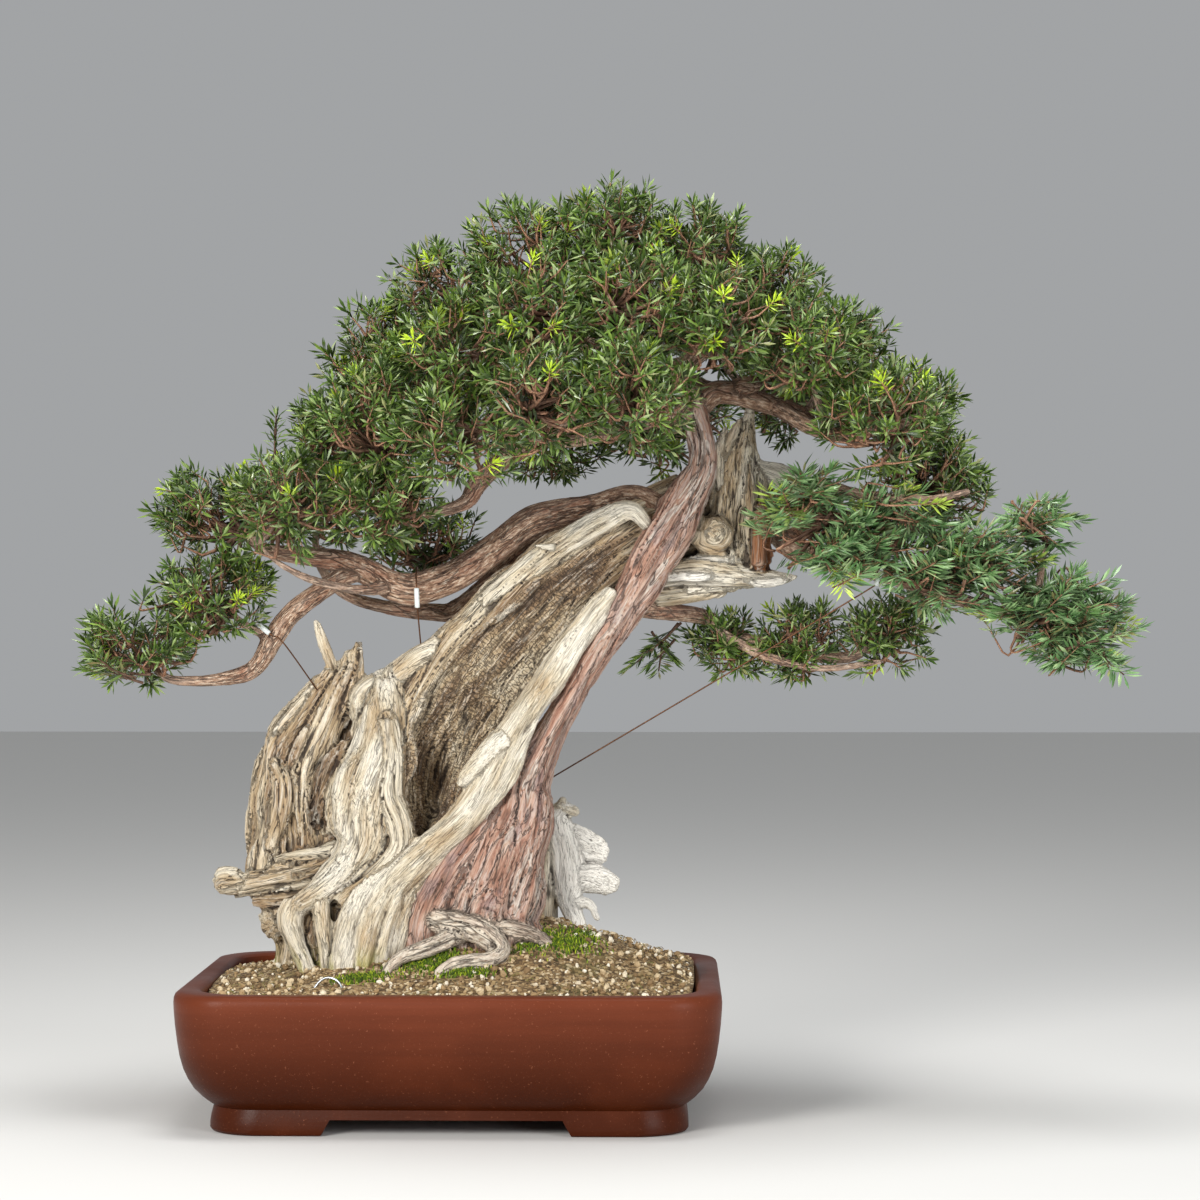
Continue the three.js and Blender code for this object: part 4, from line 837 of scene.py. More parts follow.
# Each pad: its node, its middle, the half sizes of its dense part, and the row of the vein that its
# limb leaves. "near" means the nearest limb, and "end" means that a limb above ends in the pad.
PADS = [
    ("crown_01", (-68, 0, 708), (58, 54, 54), 13), ("crown_02", (-6, 4, 768), (56, 54, 52), 14),
    ("crown_03", (68, 0, 806), (56, 54, 52), 15), ("crown_04", (148, 0, 826), (56, 56, 52), 15),
    ("crown_05", (228, 0, 806), (54, 54, 50), 15), ("crown_06", (294, 4, 764), (54, 54, 50), 13),
    ("crown_07", (356, 0, 714), (54, 54, 50), "near"), ("crown_08", (418, 0, 662), (54, 54, 48), "end"),
    ("crown_09", (450, -6, 596), (48, 48, 42), "end"),
    ("crown_10", (-66, -98, 648), (54, 48, 48), "near"),
    ("crown_11", (8, -102, 710), (54, 50, 50), 13), ("crown_12", (88, -126, 746), (54, 50, 50), 14),
    ("crown_13", (170, -128, 756), (54, 50, 50), "near"),
    ("crown_14", (248, -120, 742), (52, 50, 48), 13),
    ("crown_15", (324, -104, 716), (52, 48, 44), "near"),
    ("crown_16", (398, -84, 652), (52, 46, 46), "near"),
    ("crown_17", (8, -158, 636), (52, 44, 42), 12), ("crown_18", (88, -182, 664), (52, 46, 46), "near"),
    ("crown_19", (168, -184, 666), (52, 46, 46), 12), ("crown_20", (-52, 98, 668), (58, 52, 50), "near"),
    ("crown_21", (30, 118, 732), (60, 52, 52), 13), ("crown_22", (130, 130, 762), (60, 52, 52), 14),
    ("crown_23", (232, 126, 748), (60, 52, 50), "near"), ("crown_24", (328, 106, 696), (58, 52, 48), 13),
    ("crown_25", (80, 192, 660), (62, 50, 48), "near"), ("crown_26", (196, 192, 662), (62, 50, 48), 12),
    ("crown_27", (-104, -4, 644), (50, 48, 42), "near"),
    ("left_01", (-222, 0, 566), (62, 56, 42), "near"),
    ("left_02", (-150, -76, 576), (54, 50, 44), "near"),
    ("left_03", (-146, 78, 582), (54, 50, 44), "end"), ("left_04", (-68, -96, 574), (50, 46, 34), "near"),
    ("left_05", (-236, -10, 488), (54, 50, 38), "near"),
    ("left_06", (-304, -16, 442), (46, 44, 30), "end"),
    ("left_07", (-34, 86, 540), (50, 42, 36), "near"),
    ("right_01", (340, -58, 562), (48, 46, 38), "near"),
    ("right_02", (424, -56, 544), (50, 46, 38), "near"),
    ("right_03", (506, -62, 514), (50, 46, 38), "near"),
    ("right_04", (586, -62, 468), (48, 46, 36), "end"),
    ("right_05", (556, -50, 552), (30, 28, 20), "near"),
    ("under_01", (262, 70, 442), (36, 36, 24), "near"),
    ("under_02", (328, 68, 444), (46, 38, 28), "near"),
    ("under_03", (408, 58, 454), (46, 38, 30), "end"),
]
print("pads", len(PADS), "main limbs", len(MAIN_LIMBS))

# %% Limbs into the pads
def inside_pad(middle, size, start):
    """A spot well inside a pad, on the side that its limb comes from."""
    back = start - middle
    return middle + back / np.linalg.norm(back) * 0.5 * min(size)


def into_pad(start, end, sag, thickness):
    """Rows for a limb from start to end that hangs a little between."""
    drop = np.array([0, 0, -sag * np.linalg.norm(end - start)])
    shares = np.linspace(0, 1, len(thickness))
    hangs = [0, *[1] * (len(thickness) - 2), 0]
    return [(*(start + (end - start) * share + drop * hang), half)
            for share, hang, half in zip(shares, hangs, thickness)]


pad_limbs, hubs = [], {}
for name, middle, size, origin in PADS:
    if isinstance(origin, int):
        start = np.array(VEIN[origin][:3], float)
        hubs[name] = inside_pad(np.array(middle, float), size, start)
        pad_limbs.append(("to_" + name, 0.4, 0.1, into_pad(start, hubs[name], 0.08, (9, 7.5, 5.5, 3))))
limb_spots = np.vstack([course(rows, 8)["middle"] for *_, rows in MAIN_LIMBS + pad_limbs])
for name, middle, size, origin in PADS:
    goal = np.array(middle, float)
    away = np.linalg.norm(limb_spots - goal, axis=1)
    if origin == "end":
        hubs[name] = limb_spots[away.argmin()]
    elif origin == "near":
        start = limb_spots[(away + np.maximum(0, limb_spots[:, 2] - goal[2])).argmin()]
        hubs[name] = inside_pad(goal, size, start)
        pad_limbs.append(("to_" + name, 0.6, 0.08, into_pad(start, hubs[name], 0.08, (5.5, 4.2, 2.8))))
print("limbs into pads", len(pad_limbs))

# %% Melt the living wood, and give its bark its grain
BARK_GRAIN = 0.0025
LIVE_STRANDS = [("vein", 1.0, 0.13, VEIN)] + MAIN_LIMBS + ROOTS + pad_limbs
live_pieces = []
for number, (name, _, depth, rows) in enumerate(LIVE_STRANDS):
    line = course(rows, 3.0)
    folds, reach = (3.4, 300) if name == "vein" else (1.3, 120)
    limb = tube(line, points_around(line, 10), depth, folds, reach, 0.1, 200 + number)
    live_pieces.append(mesh_piece("limb_" + name, *limb))
living_wood = melt("living_wood_skin", live_pieces, BARK_GRAIN, smoothing=2)

points = read_points(living_wood)
_, grain, closeness = grain_of(points, LIVE_STRANDS)
red = mixed(LIVE_STRANDS, 1, closeness)
pale = closeness[[strand[0].endswith("root") for strand in LIVE_STRANDS]].sum(0)
trunk_share = closeness[0]
flakes = np.abs(noise(grain * [0.14, 0.14, 0.014], 7)) - 0.25
flakes += 0.6 * (np.abs(noise(grain * [0.4, 0.4, 0.06], 8)) - 0.25)
grooves = np.exp(-(noise(grain * [0.1, 0.1, 0.008], 11) / 0.1)**2) * (trunk_share + 0.8 * pale + 0.2)
push_out(living_wood, points, flakes * (0.9 + 1.2 * trunk_share + pale) - 1.8 * grooves)
# Crease depth, from which the bark's finish paints shade into creases and highlights onto ridges.
creases = crease_depth(living_wood)
give_values(living_wood, "grain", grain)
give_values(living_wood, "tone", np.stack([red, pale, creases, trunk_share], -1), "FLOAT_COLOR")
thin_out(living_wood, share=0.62)
print("living wood", len(points), "points", count_triangles(living_wood), "triangles")

# %% [markdown]
# Yew bark peels in thin red-brown strips. On the old vein the fresh skin beneath shows as smooth
# red and lilac-grey patches, while the limbs are brown-grey with pale flakes and dark cracks.

# %% Finish of the bark
bark = Finish("flaking_bark", roughness=0.8)
grain_place = bark.stored("grain")
red_share, pale_share, crease_shading_blue = bark.split(bark.stored("tone", "Color"))
streaks = bark.grained(0.35, 0.035, 4, 0.65, 0.3)
bands = bark.grained(0.085, 0.008, 3, 0.6, 0.5)
patches = bark.grained(0.05, 0.02, 3, 0.6, 0.4)
specks = bark.grained(0.5, 0.16, 4, 0.7)
limb_colour = bark.colours(
    bark.span(specks, 0.3, 0.7), (0.0, 86, 60, 46), (0.35, 146, 112, 88),
    (0.65, 182, 148, 122), (1.0, 222, 206, 184))
limb_colour = bark.blend(bark.span(patches, 0.45, 0.65, 0, 0.5), limb_colour, (158, 106, 82))
vein_colour = bark.colours(
    bark.span(bands, 0.28, 0.72), (0.0, 112, 80, 66), (0.2, 158, 114, 94), (0.42, 184, 144, 124),
    (0.58, 198, 174, 162), (0.72, 166, 124, 100), (0.86, 214, 202, 190), (1.0, 140, 104, 86))
vein_colour = bark.blend(bark.span(patches, 0.52, 0.7, 0, 0.6), vein_colour, (150, 132, 132))
bark_colour = bark.blend(bark.span(red_share, 0.35, 0.95), limb_colour, vein_colour)
root_colour = bark.blend(bark.span(specks, 0.3, 0.6), (164, 144, 122), (230, 220, 202))
bark_colour = bark.layered(
    bark_colour,
    (pale_share, root_colour),
    (bark.span(streaks, 0.5, 0.68, 0, 0.55), (92, 62, 50)),
    (bark.span(streaks, 0.46, 0.3, 0, 0.4), (212, 190, 172)))
print("colours of the bark", len(bark.tree.nodes), "nodes")

# %% Cracks, painted crease shade, painted edge highlights and relief of the bark
flow = bark.midway(bark.grained(0.12, 0.011, 3, 0.65, 0.7))
lines = bark.span(flow, 0.0, 0.024, 1, 0)
plates = bark.cells(bark.stretched(grain_place, (0.13, 0.13, 0.03)), 1.0, "DISTANCE_TO_EDGE")
plate_gaps = bark.times(bark.span(plates, 0.0, 0.07, 1, 0), bark.span(patches, 0.4, 0.6, 0.0, 0.9))
plate_gaps = bark.times(plate_gaps, bark.span(red_share, 0.5, 1.0, 1.0, 0.35))
gaps = bark.larger(lines, plate_gaps)
bark_colour = bark.layered(
    bark_colour,
    (bark.times(gaps, 0.75), (54, 38, 31)),
    # Painted shade darkens the creases, and a painted highlight lightens the ridges.
    (bark.span(crease_shading_blue, 0.1, 1.1, 0, 0.85), (50, 35, 28)),
    (bark.span(crease_shading_blue, -1.2, -0.1, 0.4, 0), (206, 184, 166)))
height = bark.minus(bark.plus(bark.times(streaks, 0.7), bark.times(specks, 0.8)), gaps)
cover(living_wood, bark.finish(bark_colour, bark.relief(height, 0.002)))
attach(living_wood, "root")
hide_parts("living_wood")
print("bark finished")

# %% [markdown]
# ## The needles
#
# A yew needle is a flat strip about 13 mm long and 2 mm wide with a short point. There are tens of
# thousands of them, so one is modelled, a handful of shoots are made from copies of it, and the
# shoots are set out over the pads. Particles would do this too, but real meshes can be exported.

# %% One needle
NEEDLE_LONG, NEEDLE_WIDE = 13.5, 3.0
# Shares of its length: where it is broadest, its tapering end, and the middle of that end.
BROADEST, TAPERING, CONE_MIDDLE = 0.58, 0.42, 0.79
broadest = BROADEST * NEEDLE_LONG * MM
clear_selection()
bpy.ops.mesh.primitive_cone_add(
    vertices=3, radius1=NEEDLE_WIDE / 1.732 * MM, radius2=0, depth=TAPERING * NEEDLE_LONG * MM,
    end_fill_type="TRIFAN", location=(0, 0, CONE_MIDDLE * NEEDLE_LONG * MM))
needle = bpy.context.object
bpy.ops.object.transform_apply(location=True, rotation=False, scale=False)
bpy.ops.object.mode_set(mode="EDIT")
choose(needle, "verts", lambda spot: abs(spot.co.z - broadest) < 1e-6 and spot.co.xy.length < 1e-6)
bpy.ops.transform.translate(value=(0, 0, -broadest))
bpy.ops.mesh.select_all(action="SELECT")
bpy.ops.transform.resize(value=(1, 0.34, 1), center_override=(0, 0, 0))
bpy.ops.object.mode_set(mode="OBJECT")
needle_points = read_points(needle) + POT_MIDDLE / MM
needle.data.calc_loop_triangles()
needle_faces = np.array([list(triangle.vertices) for triangle in needle.data.loop_triangles])
bpy.data.objects.remove(needle)
print("needle", np.ptp(needle_points, axis=0).round(2), "mm", len(needle_faces), "triangles")

# %% Shoots made from copies of the needle
def turned(along, width):
    """Matrices that turn z to along and x as near as possible to width."""
    along = along / lengths(along)
    width = width - along * (width * along).sum(-1, keepdims=True)
    width = width / lengths(width)
    return np.stack([width, np.cross(along, width), along], axis=-1)


GOLDEN_TURN = 2.39996  # radians between one needle of a spiral and the next


def shoot(count, stem, ranked, long, random):
    """Needles round a stem along z. ranked ones lie in two rows, others spiral."""
    step = np.arange(count)
    share = (step + 0.5) / count
    if ranked:
        turn = np.pi * (step % 2) + random.normal(0, 0.25, count)
        lean = np.radians(68 - 38 * share**2)
    else:
        turn = step * GOLDEN_TURN + random.normal(0, 0.2, count)
        lean = np.radians(74 - 50 * share**1.4)
    lean = lean + random.normal(0, 0.13, count)
    out = np.stack([np.cos(turn), np.sin(turn), np.zeros(count)], -1)
    along = out * np.sin(lean)[:, None] + np.array([0, 0, 1.0]) * np.cos(lean)[:, None]
    across = np.cross([0.0, 0.0, 1.0], out)
    if ranked:
        across = across * 0.3 + [0, 0, 1.0]
    across = across + random.normal(0, 0.35, (count, 3))
    size = long * (0.75 + 0.5 * np.sin(np.pi * (0.15 + 0.7 * share))) * random.uniform(0.85, 1.1, count)
    bent = needle_points[None] * np.stack([np.ones(count), np.ones(count), size], -1)[:, None]
    bent[..., 1] -= 0.012 * bent[..., 2]**2 * random.uniform(-0.4, 1.0, (count, 1))
    points = np.einsum("nij,npj->npi", turned(along, across), bent)
    points[..., 2] += (0.2 * stem + 0.8 * stem * share)[:, None]
    values = np.stack([np.repeat(random.random(count), needle_points.shape[0]),
                       np.tile(needle_points[:, 2] / NEEDLE_LONG, count)], -1)
    faces = (needle_faces[None] + len(needle_points) * step[:, None, None]).reshape(-1, 3)
    return points.reshape(-1, 3), faces, values


shoot_dice = np.random.RandomState(3)
TUFT_NEEDLES, TUFT_STEM = 15, 20
FLAT_NEEDLES, FLAT_STEM, FLAT_SET_BACK = 24, 44, 42
TUFTS = [shoot(TUFT_NEEDLES, TUFT_STEM, False, 1.0, shoot_dice) for _ in range(5)]
FLAT_SHOOTS = [shoot(FLAT_NEEDLES, FLAT_STEM, True, 1.35, shoot_dice) for _ in range(4)]
print("needles in a tuft", TUFT_NEEDLES, "in a flat shoot", FLAT_NEEDLES)

# %% Where the shoots stand on each pad
NEIGHBOURLY = 190  # mm between the middles of pads that may share room
EMPTY_BELOW = -0.2  # where the noise is lower than this, the crown has a gap


def pad_reach(middle, size, points):
    return np.sqrt((((points - middle) / np.array(size))**2).sum(-1))


def shoots_on(name, middle, size, count, flat, random):
    """Tips and directions of a pad's shoots, leaving out those deep inside its neighbours."""
    middle, size = np.array(middle, float), np.array(size, float)
    tips, ways = [], []
    neighbours = [pad for pad in PADS if pad[0] != name
                  and np.linalg.norm(np.array(pad[1]) - middle) < NEIGHBOURLY]
    while len(tips) < count:
        way = random.normal(size=3)
        way /= np.linalg.norm(way)
        if way[2] < -0.25 and random.random() < 0.6:
            continue
        far = random.uniform(0.0, 1.0)**0.42
        tip = middle + way * (size + 13) * (0.3 + 0.7 * far) * random.uniform(0.93, 1.03)
        if not flat and random.random() < 0.8 and noise(tip[None] * 0.024, 41)[0] < EMPTY_BELOW:
            continue
        if any(pad_reach(np.array(pad[1]), np.array(pad[2]), tip) < 0.72 for pad in neighbours):
            continue
        if flat:
            aim = np.array([way[0] * 0.9 + 0.45, way[1] * 0.9 - 0.1, 0.05 + 0.35 * way[2]])
        else:
            aim = way * [1, 1, 0.8] + [0, 0, 0.55]
        aim = aim / np.linalg.norm(aim) + random.normal(0, 0.3, 3)
        tips.append(tip)
        ways.append(aim / np.linalg.norm(aim))
    return np.array(tips), np.array(ways)


print("pads to dress", len(PADS))

# %% Copies of the shoots
def dress(tips, ways, templates, stem, middle, size, random, fresh_share=0.07):
    """Copies of the shoots as points, faces and leaf values."""
    shapes, leaves = [], []
    scale = random.uniform(0.82, 1.12, len(tips))
    up = UP + random.normal(0, 0.25, (len(tips), 3))
    turns = turned(ways, np.cross(ways, up))
    if templates is TUFTS:
        spin = random.uniform(0, 2 * np.pi, len(tips))
    else:
        spin = random.normal(0, 0.3, len(tips))
    fresh = np.where(random.random(len(tips)) < fresh_share, random.uniform(0.6, 1.0, len(tips)),
                     random.uniform(0, 0.22, len(tips)))
    # How near the pad's outside each shoot lies: fresh shoots keep outside, and deeper ones get painted
    # shade.
    depth = np.clip(pad_reach(middle, size + 10, tips), 0, 1)
    fresh *= depth**2
    for number in range(len(tips)):
        shape_points, shape_faces, values = templates[random.randint(len(templates))]
        around = np.array([[np.cos(spin[number]), -np.sin(spin[number]), 0],
                           [np.sin(spin[number]), np.cos(spin[number]), 0], [0, 0, 1.0]])
        size_now = scale[number] * (0.8 if fresh[number] > 0.5 else 1.0)
        placed = shape_points * size_now @ (turns[number] @ around).T
        shapes.append((placed + tips[number] - ways[number] * stem * size_now, shape_faces))
        leaves.append(np.column_stack([values, np.full(len(values), fresh[number]),
                                       np.full(len(values), depth[number])]))
    return *gather(shapes), np.vstack(leaves)


def needle_piece(name, points, faces, leaves):
    piece = mesh_piece("needles_" + name, points, [faces], smooth=False)
    give_values(piece, "leaf", leaves, "FLOAT_COLOR")
    return piece


print("points in a tuft", len(TUFTS[0][0]), "in a flat shoot", len(FLAT_SHOOTS[0][0]))

# %% Needles on every pad
# Foliage between the pads, which the measured model leaves open: name, middle and half sizes.
FILLS = [
    ("right_fill_1", (382, -56, 536), (44, 42, 28)), ("right_fill_2", (466, -60, 508), (50, 44, 30)),
    ("right_fill_3", (546, -62, 476), (46, 42, 30)), ("right_fill_4", (586, -70, 444), (34, 36, 20)),
]
for name, middle, size in FILLS:
    hubs[name] = limb_spots[np.linalg.norm(limb_spots - np.array(middle, float), axis=1).argmin()]
FLAT_COUNT, TUFT_COUNT, USUAL_BULK = 60, 119, 4300
stems, needle_pieces = [], []
for number, (name, middle, size, *_) in enumerate(PADS + FILLS):
    random = np.random.RandomState(400 + number)
    flat = name.startswith("right")
    bulk = np.prod(np.array(size) + 13)**(2 / 3) / USUAL_BULK
    count = int((FLAT_COUNT if flat else TUFT_COUNT) * bulk)
    templates, stem = (FLAT_SHOOTS, FLAT_SET_BACK) if flat else (TUFTS, TUFT_STEM)
    tips, ways = shoots_on(name, middle, size, count, flat, random)
    shapes = dress(tips, ways, templates, stem, np.array(middle), np.array(size), random)
    piece = needle_piece(name, *shapes)
    needle_pieces.append(piece)
    stems.append((name, tips - ways * stem * 1.05, tips - ways * 3))
    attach(piece, "root")
    if number < len(PADS):
        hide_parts("foliage_" + name)
print("needle triangles", count_triangles(*needle_pieces), "shoots",
      sum(len(starts) for _, starts, _ in stems))

# %% [markdown]
# Needles are dark green with a cool shine, paler towards the tip. The newest shoots are a bright
# yellow-green. Each needle carries its own values, so no two neighbours have quite one colour. A few
# needles are painted pale as glints, and needles deep inside a pad are painted darker as shade.

# %% Finish of the needles
def needle_finish(name, dark, middle, light, fresh):
    finish = Finish(name, roughness=0.3, IOR=1.5)
    random_red, along_green, fresh_blue = finish.split(finish.stored("leaf", "Color"))
    depth = finish.stored("leaf", "Alpha")
    # The stop at 0.95 paints a few needles pale as glints, a painted highlight; the brown ones are dead.
    colour = finish.colours(random_red, (0.0, *dark), (0.45, *middle), (0.85, *light),
                            (0.95, 176, 196, 140), (1.0, 124, 98, 56))
    # Painted shade: needles deep inside a pad are darkened.
    colour = finish.blend(finish.span(depth, 0.5, 1.0, 0.9, 0), colour, (12, 22, 10))
    colour = finish.blend(finish.span(fresh_blue, 0.1, 0.85), colour, fresh)
    colour = finish.blend(finish.span(along_green, 0.1, 1.0, 0, 0.22), colour, light)
    return finish.finish(colour)


crown_green = needle_finish("crown_needles", (20, 36, 14), (54, 82, 30), (124, 152, 64), (196, 224, 52))
branch_green = needle_finish("branch_needles", (32, 62, 30), (80, 126, 66), (160, 192, 136),
                             (200, 224, 80))
for piece in needle_pieces:
    cover(piece, branch_green if "right" in piece.name else crown_green)
print("needles finished")

# %% [markdown]
# Twigs fan out from the end of each limb and curve up into the tufts. They show red-brown between
# the needles and give the crown its depth. The thicker ones go to every fourth tuft, and the others
# branch from them. Shade is painted on them, darkest where they leave the hub inside a pad.

# %% Thin tapered tubes
def bow(share, starts, bends, ends):
    """Places on curves that run from starts to ends and are drawn towards bends."""
    return (1 - share)**2 * starts + 2 * share * (1 - share) * bends + share**2 * ends


def twig_tubes(starts, bends, ends, thick, thin, rings, sides):
    """Many tapered twigs at once: points, faces, and each point's place in the grain."""
    share = np.linspace(0, 1, rings)[None, :, None]
    middle = bow(share, *(points[:, None] for points in (starts, bends, ends)))
    along = np.gradient(middle, axis=1)
    along /= np.maximum(lengths(along), 1e-6)
    side = np.cross(along, [0.31, 0.87, 0.12])
    side /= lengths(side)
    deep = np.cross(along, side)
    half = (thick * (1 - share) + thin * share)[..., None]
    angle = np.linspace(0, 2 * np.pi, sides, endpoint=False)[:, None]
    out = side[:, :, None] * np.cos(angle) + deep[:, :, None] * np.sin(angle)
    points = middle[:, :, None] + half * out
    number, ring, spot = np.ogrid[:len(points), :rings - 1, :sides]
    base, after = (number * rings + ring) * sides, (spot + 1) % sides
    corners = base + spot, base + after, base + sides + after, base + sides + spot
    quads = np.stack(np.broadcast_arrays(*corners), -1)
    angle = angle[:, 0]
    places = np.broadcast_arrays(8 * np.cos(angle), 8 * np.sin(angle), 60 * share + 37.0 * number)
    grains = np.broadcast_to(np.stack(places, -1), points.shape)
    return points.reshape(-1, 3), quads.reshape(-1, 4), grains.reshape(-1, 3)


print("hubs that twigs start from", len(hubs))

# %% Twigs to every shoot
twig_shapes, twig_grains, twig_light = [], [], []
for name, starts, ends in stems:
    random = np.random.RandomState(len(twig_shapes) + 900)
    hub, reach = hubs[name], lengths(starts - hubs[name])
    main = np.arange(len(starts)) % 4 == 0
    hub_spots = hub + random.normal(0, 2.5, (main.sum(), 3))
    bends = starts[main] - (ends - starts)[main] * 0.5 - UP * reach[main] * 0.2
    share = np.array([0.35, 0.55, 0.75])[:, None, None]
    carried = bow(share, hub_spots, bends, starts[main]).reshape(-1, 3)
    rest = starts[~main]
    origin = carried[np.linalg.norm(rest[:, None] - carried[None], axis=-1).argmin(1)]
    # Each set: starts, bends, ends, half width there and at the end, rings, and how light it begins; the
    # finish paints shade where it is low.
    sets = [(hub_spots, bends, starts[main], 2.9, 1.4, 4, 0.0),
            (origin, rest - (ends - starts)[~main] * 0.35, rest, 1.7, 1.1, 4, 0.35),
            (starts, (starts + ends) / 2, ends, 1.2, 0.6, 2, 1.0)]
    for *run, rings, light in sets:
        points, faces, grains = twig_tubes(*run, rings, 3)
        twig_shapes.append((points, faces))
        twig_grains.append(grains)
        twig_light.append(np.tile(np.repeat(np.linspace(light, 1, rings), 3), len(run[0])))
points, faces = gather(twig_shapes)
twigs = mesh_piece("twigs", points, [faces])
give_values(twigs, "grain", np.vstack(twig_grains))
twig_light = np.concatenate(twig_light)
give_values(twigs, "leaf", np.column_stack([twig_light] * 3 + [np.ones(len(twig_light))]), "FLOAT_COLOR")
print("twigs", count_triangles(twigs), "triangles")

# %% Finish of the twigs
twig_finish = Finish("twig_bark", roughness=0.7)
specks = twig_finish.grained(0.25, 0.2, 3, 0.6)
twig_colour = twig_finish.colours(
    twig_finish.span(specks, 0.3, 0.7), (0.0, 92, 58, 42), (0.5, 158, 110, 82), (1.0, 208, 170, 138))
# Painted shade: twigs darken towards the hub, deep inside the pad.
twig_shading_share = twig_finish.split(twig_finish.stored("leaf", "Color"))[0]
twig_colour = twig_finish.blend(twig_finish.span(twig_shading_share, 0.1, 0.95, 0.75, 0), twig_colour,
                                (58, 42, 32))
cover(twigs, twig_finish.finish(twig_colour, twig_finish.relief(specks, 0.0006, 0.8)))
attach(twigs, "root")
print("twigs finished")

# %% [markdown]
# Three slim sprays hang out past the pads, and one long shoot stands up alone on the left. They are
# made from the same flat shoots and tufts, set along their own twigs.

# %% Sprays and the lone shoot
SPRAYS = {
    "left_tip": [((-286, -46, 416), (-346, -60, 420)), ((-308, -54, 412), (-330, -88, 432))],
    "right_tip": [((566, -96, 440), (632, -116, 460)), ((590, -106, 443), (616, -136, 418))],
    "under_trunk": [((214, 62, 464), (164, 72, 420)), ((196, 70, 447), (192, 102, 416))],
}
LONE_SHOOT = [((-172, -34, 606), (-169, -38, 662))]


def spray_piece(name, lines, templates, stem, random):
    """Shoots along straight stems, with their brown stems given back too."""
    tips, ways = [], []
    for start, end in lines:
        start, end = np.array(start, float), np.array(end, float)
        way = (end - start) / np.linalg.norm(end - start)
        for share in (0.55, 0.8, 1.0):
            side = np.cross(way, [0, 0, 1.0]) * (0.0 if share == 1.0 else random.choice([-0.8, 0.8]))
            tips.append(start + (end - start) * share + side * 16)
            ways.append((way + side) / np.linalg.norm(way + side))
    tips, ways = np.array(tips), np.array(ways)
    middle, size = tips.mean(0), np.array([60.0, 60, 60])
    points, faces, leaves = dress(tips, ways, templates, stem, middle, size, random, 0.2)
    leaves[:, 3] = 1
    return needle_piece(name, points, faces, leaves), tips - ways * stem, tips - ways * 3


spray_stems = []
for number, (name, lines) in enumerate(SPRAYS.items()):
    random = np.random.RandomState(700 + number)
    piece, starts, ends = spray_piece("spray_" + name, lines, FLAT_SHOOTS, FLAT_SET_BACK, random)
    cover(piece, branch_green if name == "right_tip" else crown_green)
    begins, finals = zip(*lines)
    spray_stems.append((np.vstack([starts, begins]), np.vstack([ends, finals])))
    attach(piece, "root")
    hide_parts("spray_" + name)
lone, starts, ends = spray_piece("lone_shoot", LONE_SHOOT, TUFTS, TUFT_STEM, np.random.RandomState(710))
cover(lone, crown_green)
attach(lone, "root")
spray_stems.append((np.vstack([starts, [(-176, -20, 560)]]), np.vstack([ends, [LONE_SHOOT[0][1]]])))
starts, ends = (np.vstack([pair[i] for pair in spray_stems]) for i in (0, 1))
bends = (starts + ends) / 2 - [0, 0, 2]
points, faces, grains = twig_tubes(starts, bends, ends, 1.5, 0.7, 4, 5)
spray_twigs = mesh_piece("spray_twigs", points, [faces])
give_values(spray_twigs, "grain", grains)
cover(spray_twigs, twigs.data.materials[0])
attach(spray_twigs, "root")
print("sprays", len(SPRAYS) + 1)

# %% [markdown]
# ## The pot
#
# The pot is unglazed red clay with a dull sheen: a rounded rectangle that swells from its foot to a
# soft rim, and a foot band with a low arch in each side. A potter would press it in a mould. Here a
# plane with round corners is pulled up ring by ring, and the arches are cut with Booleans.

# %% Outlines, and how they are pulled up and cut
POT_LONG, POT_DEEP, POT_CORNER = 501.0, 398.0, 60.0
# Outlines from the foot up: how far in from the widest outline, and how high, in mm.
BODY_OUT = [
    (42, 20), (36, 22), (30, 26.5), (24, 32), (17, 40), (12, 49), (8, 59), (5, 71), (3, 84), (1.2, 100),
    (0.2, 114), (0, 120), (0.4, 124), (1.6, 127.3), (4, 129.3), (7, 130)]
BODY_IN = [
    (18, 130), (21, 129.4), (23, 127.6), (24, 124), (25, 104), (28, 80), (36, 58), (48, 44), (62, 35)]
FOOT_OUT = [(35, 0), (32, 0.8), (30.6, 3), (30.6, 7), (31.5, 14), (33, 20), (34, 24), (38, 27)]


def rounded_slab(name, inset, height):
    """A flat face with the pot's round corners, inset mm in from its widest outline."""
    clear_selection()
    bpy.ops.mesh.primitive_plane_add(size=1, location=POT_MIDDLE + [0, 0, height * MM])
    slab = bpy.context.object
    slab.name = name
    slab.scale = ((POT_LONG - 2 * inset) * MM, (POT_DEEP - 2 * inset) * MM, 1)
    bpy.ops.object.transform_apply(location=False, rotation=False, scale=True)
    edit_all(slab)
    bpy.ops.mesh.bevel(offset=(POT_CORNER - 0.35 * inset) * MM, affect="VERTICES", segments=16)
    bpy.ops.mesh.select_all(action="SELECT")
    return slab


def pull_rings(profile):
    """Extrudes the selected face through the profile's steps of inset and height."""
    for (inset, height), (next_inset, next_height) in zip(profile[:-1], profile[1:]):
        rise = (0, 0, (next_height - height) * MM)
        bpy.ops.mesh.extrude_region_move(TRANSFORM_OT_translate={"value": rise})
        growth = [(full - 2 * next_inset) / (full - 2 * inset) for full in (POT_LONG, POT_DEEP)]
        bpy.ops.transform.resize(value=(*growth, 1), center_override=POT_MIDDLE)


def close_shape(piece):
    """Ends a shape in edit mode, its faces outwards and its origin at the scene's."""
    face_out(piece)
    bpy.ops.object.transform_apply(location=True, rotation=False, scale=False)
    return piece


def cut_away(body, cutter):
    """Cuts a closed shape out of another."""
    combine(body, cutter, "DIFFERENCE", "EXACT")


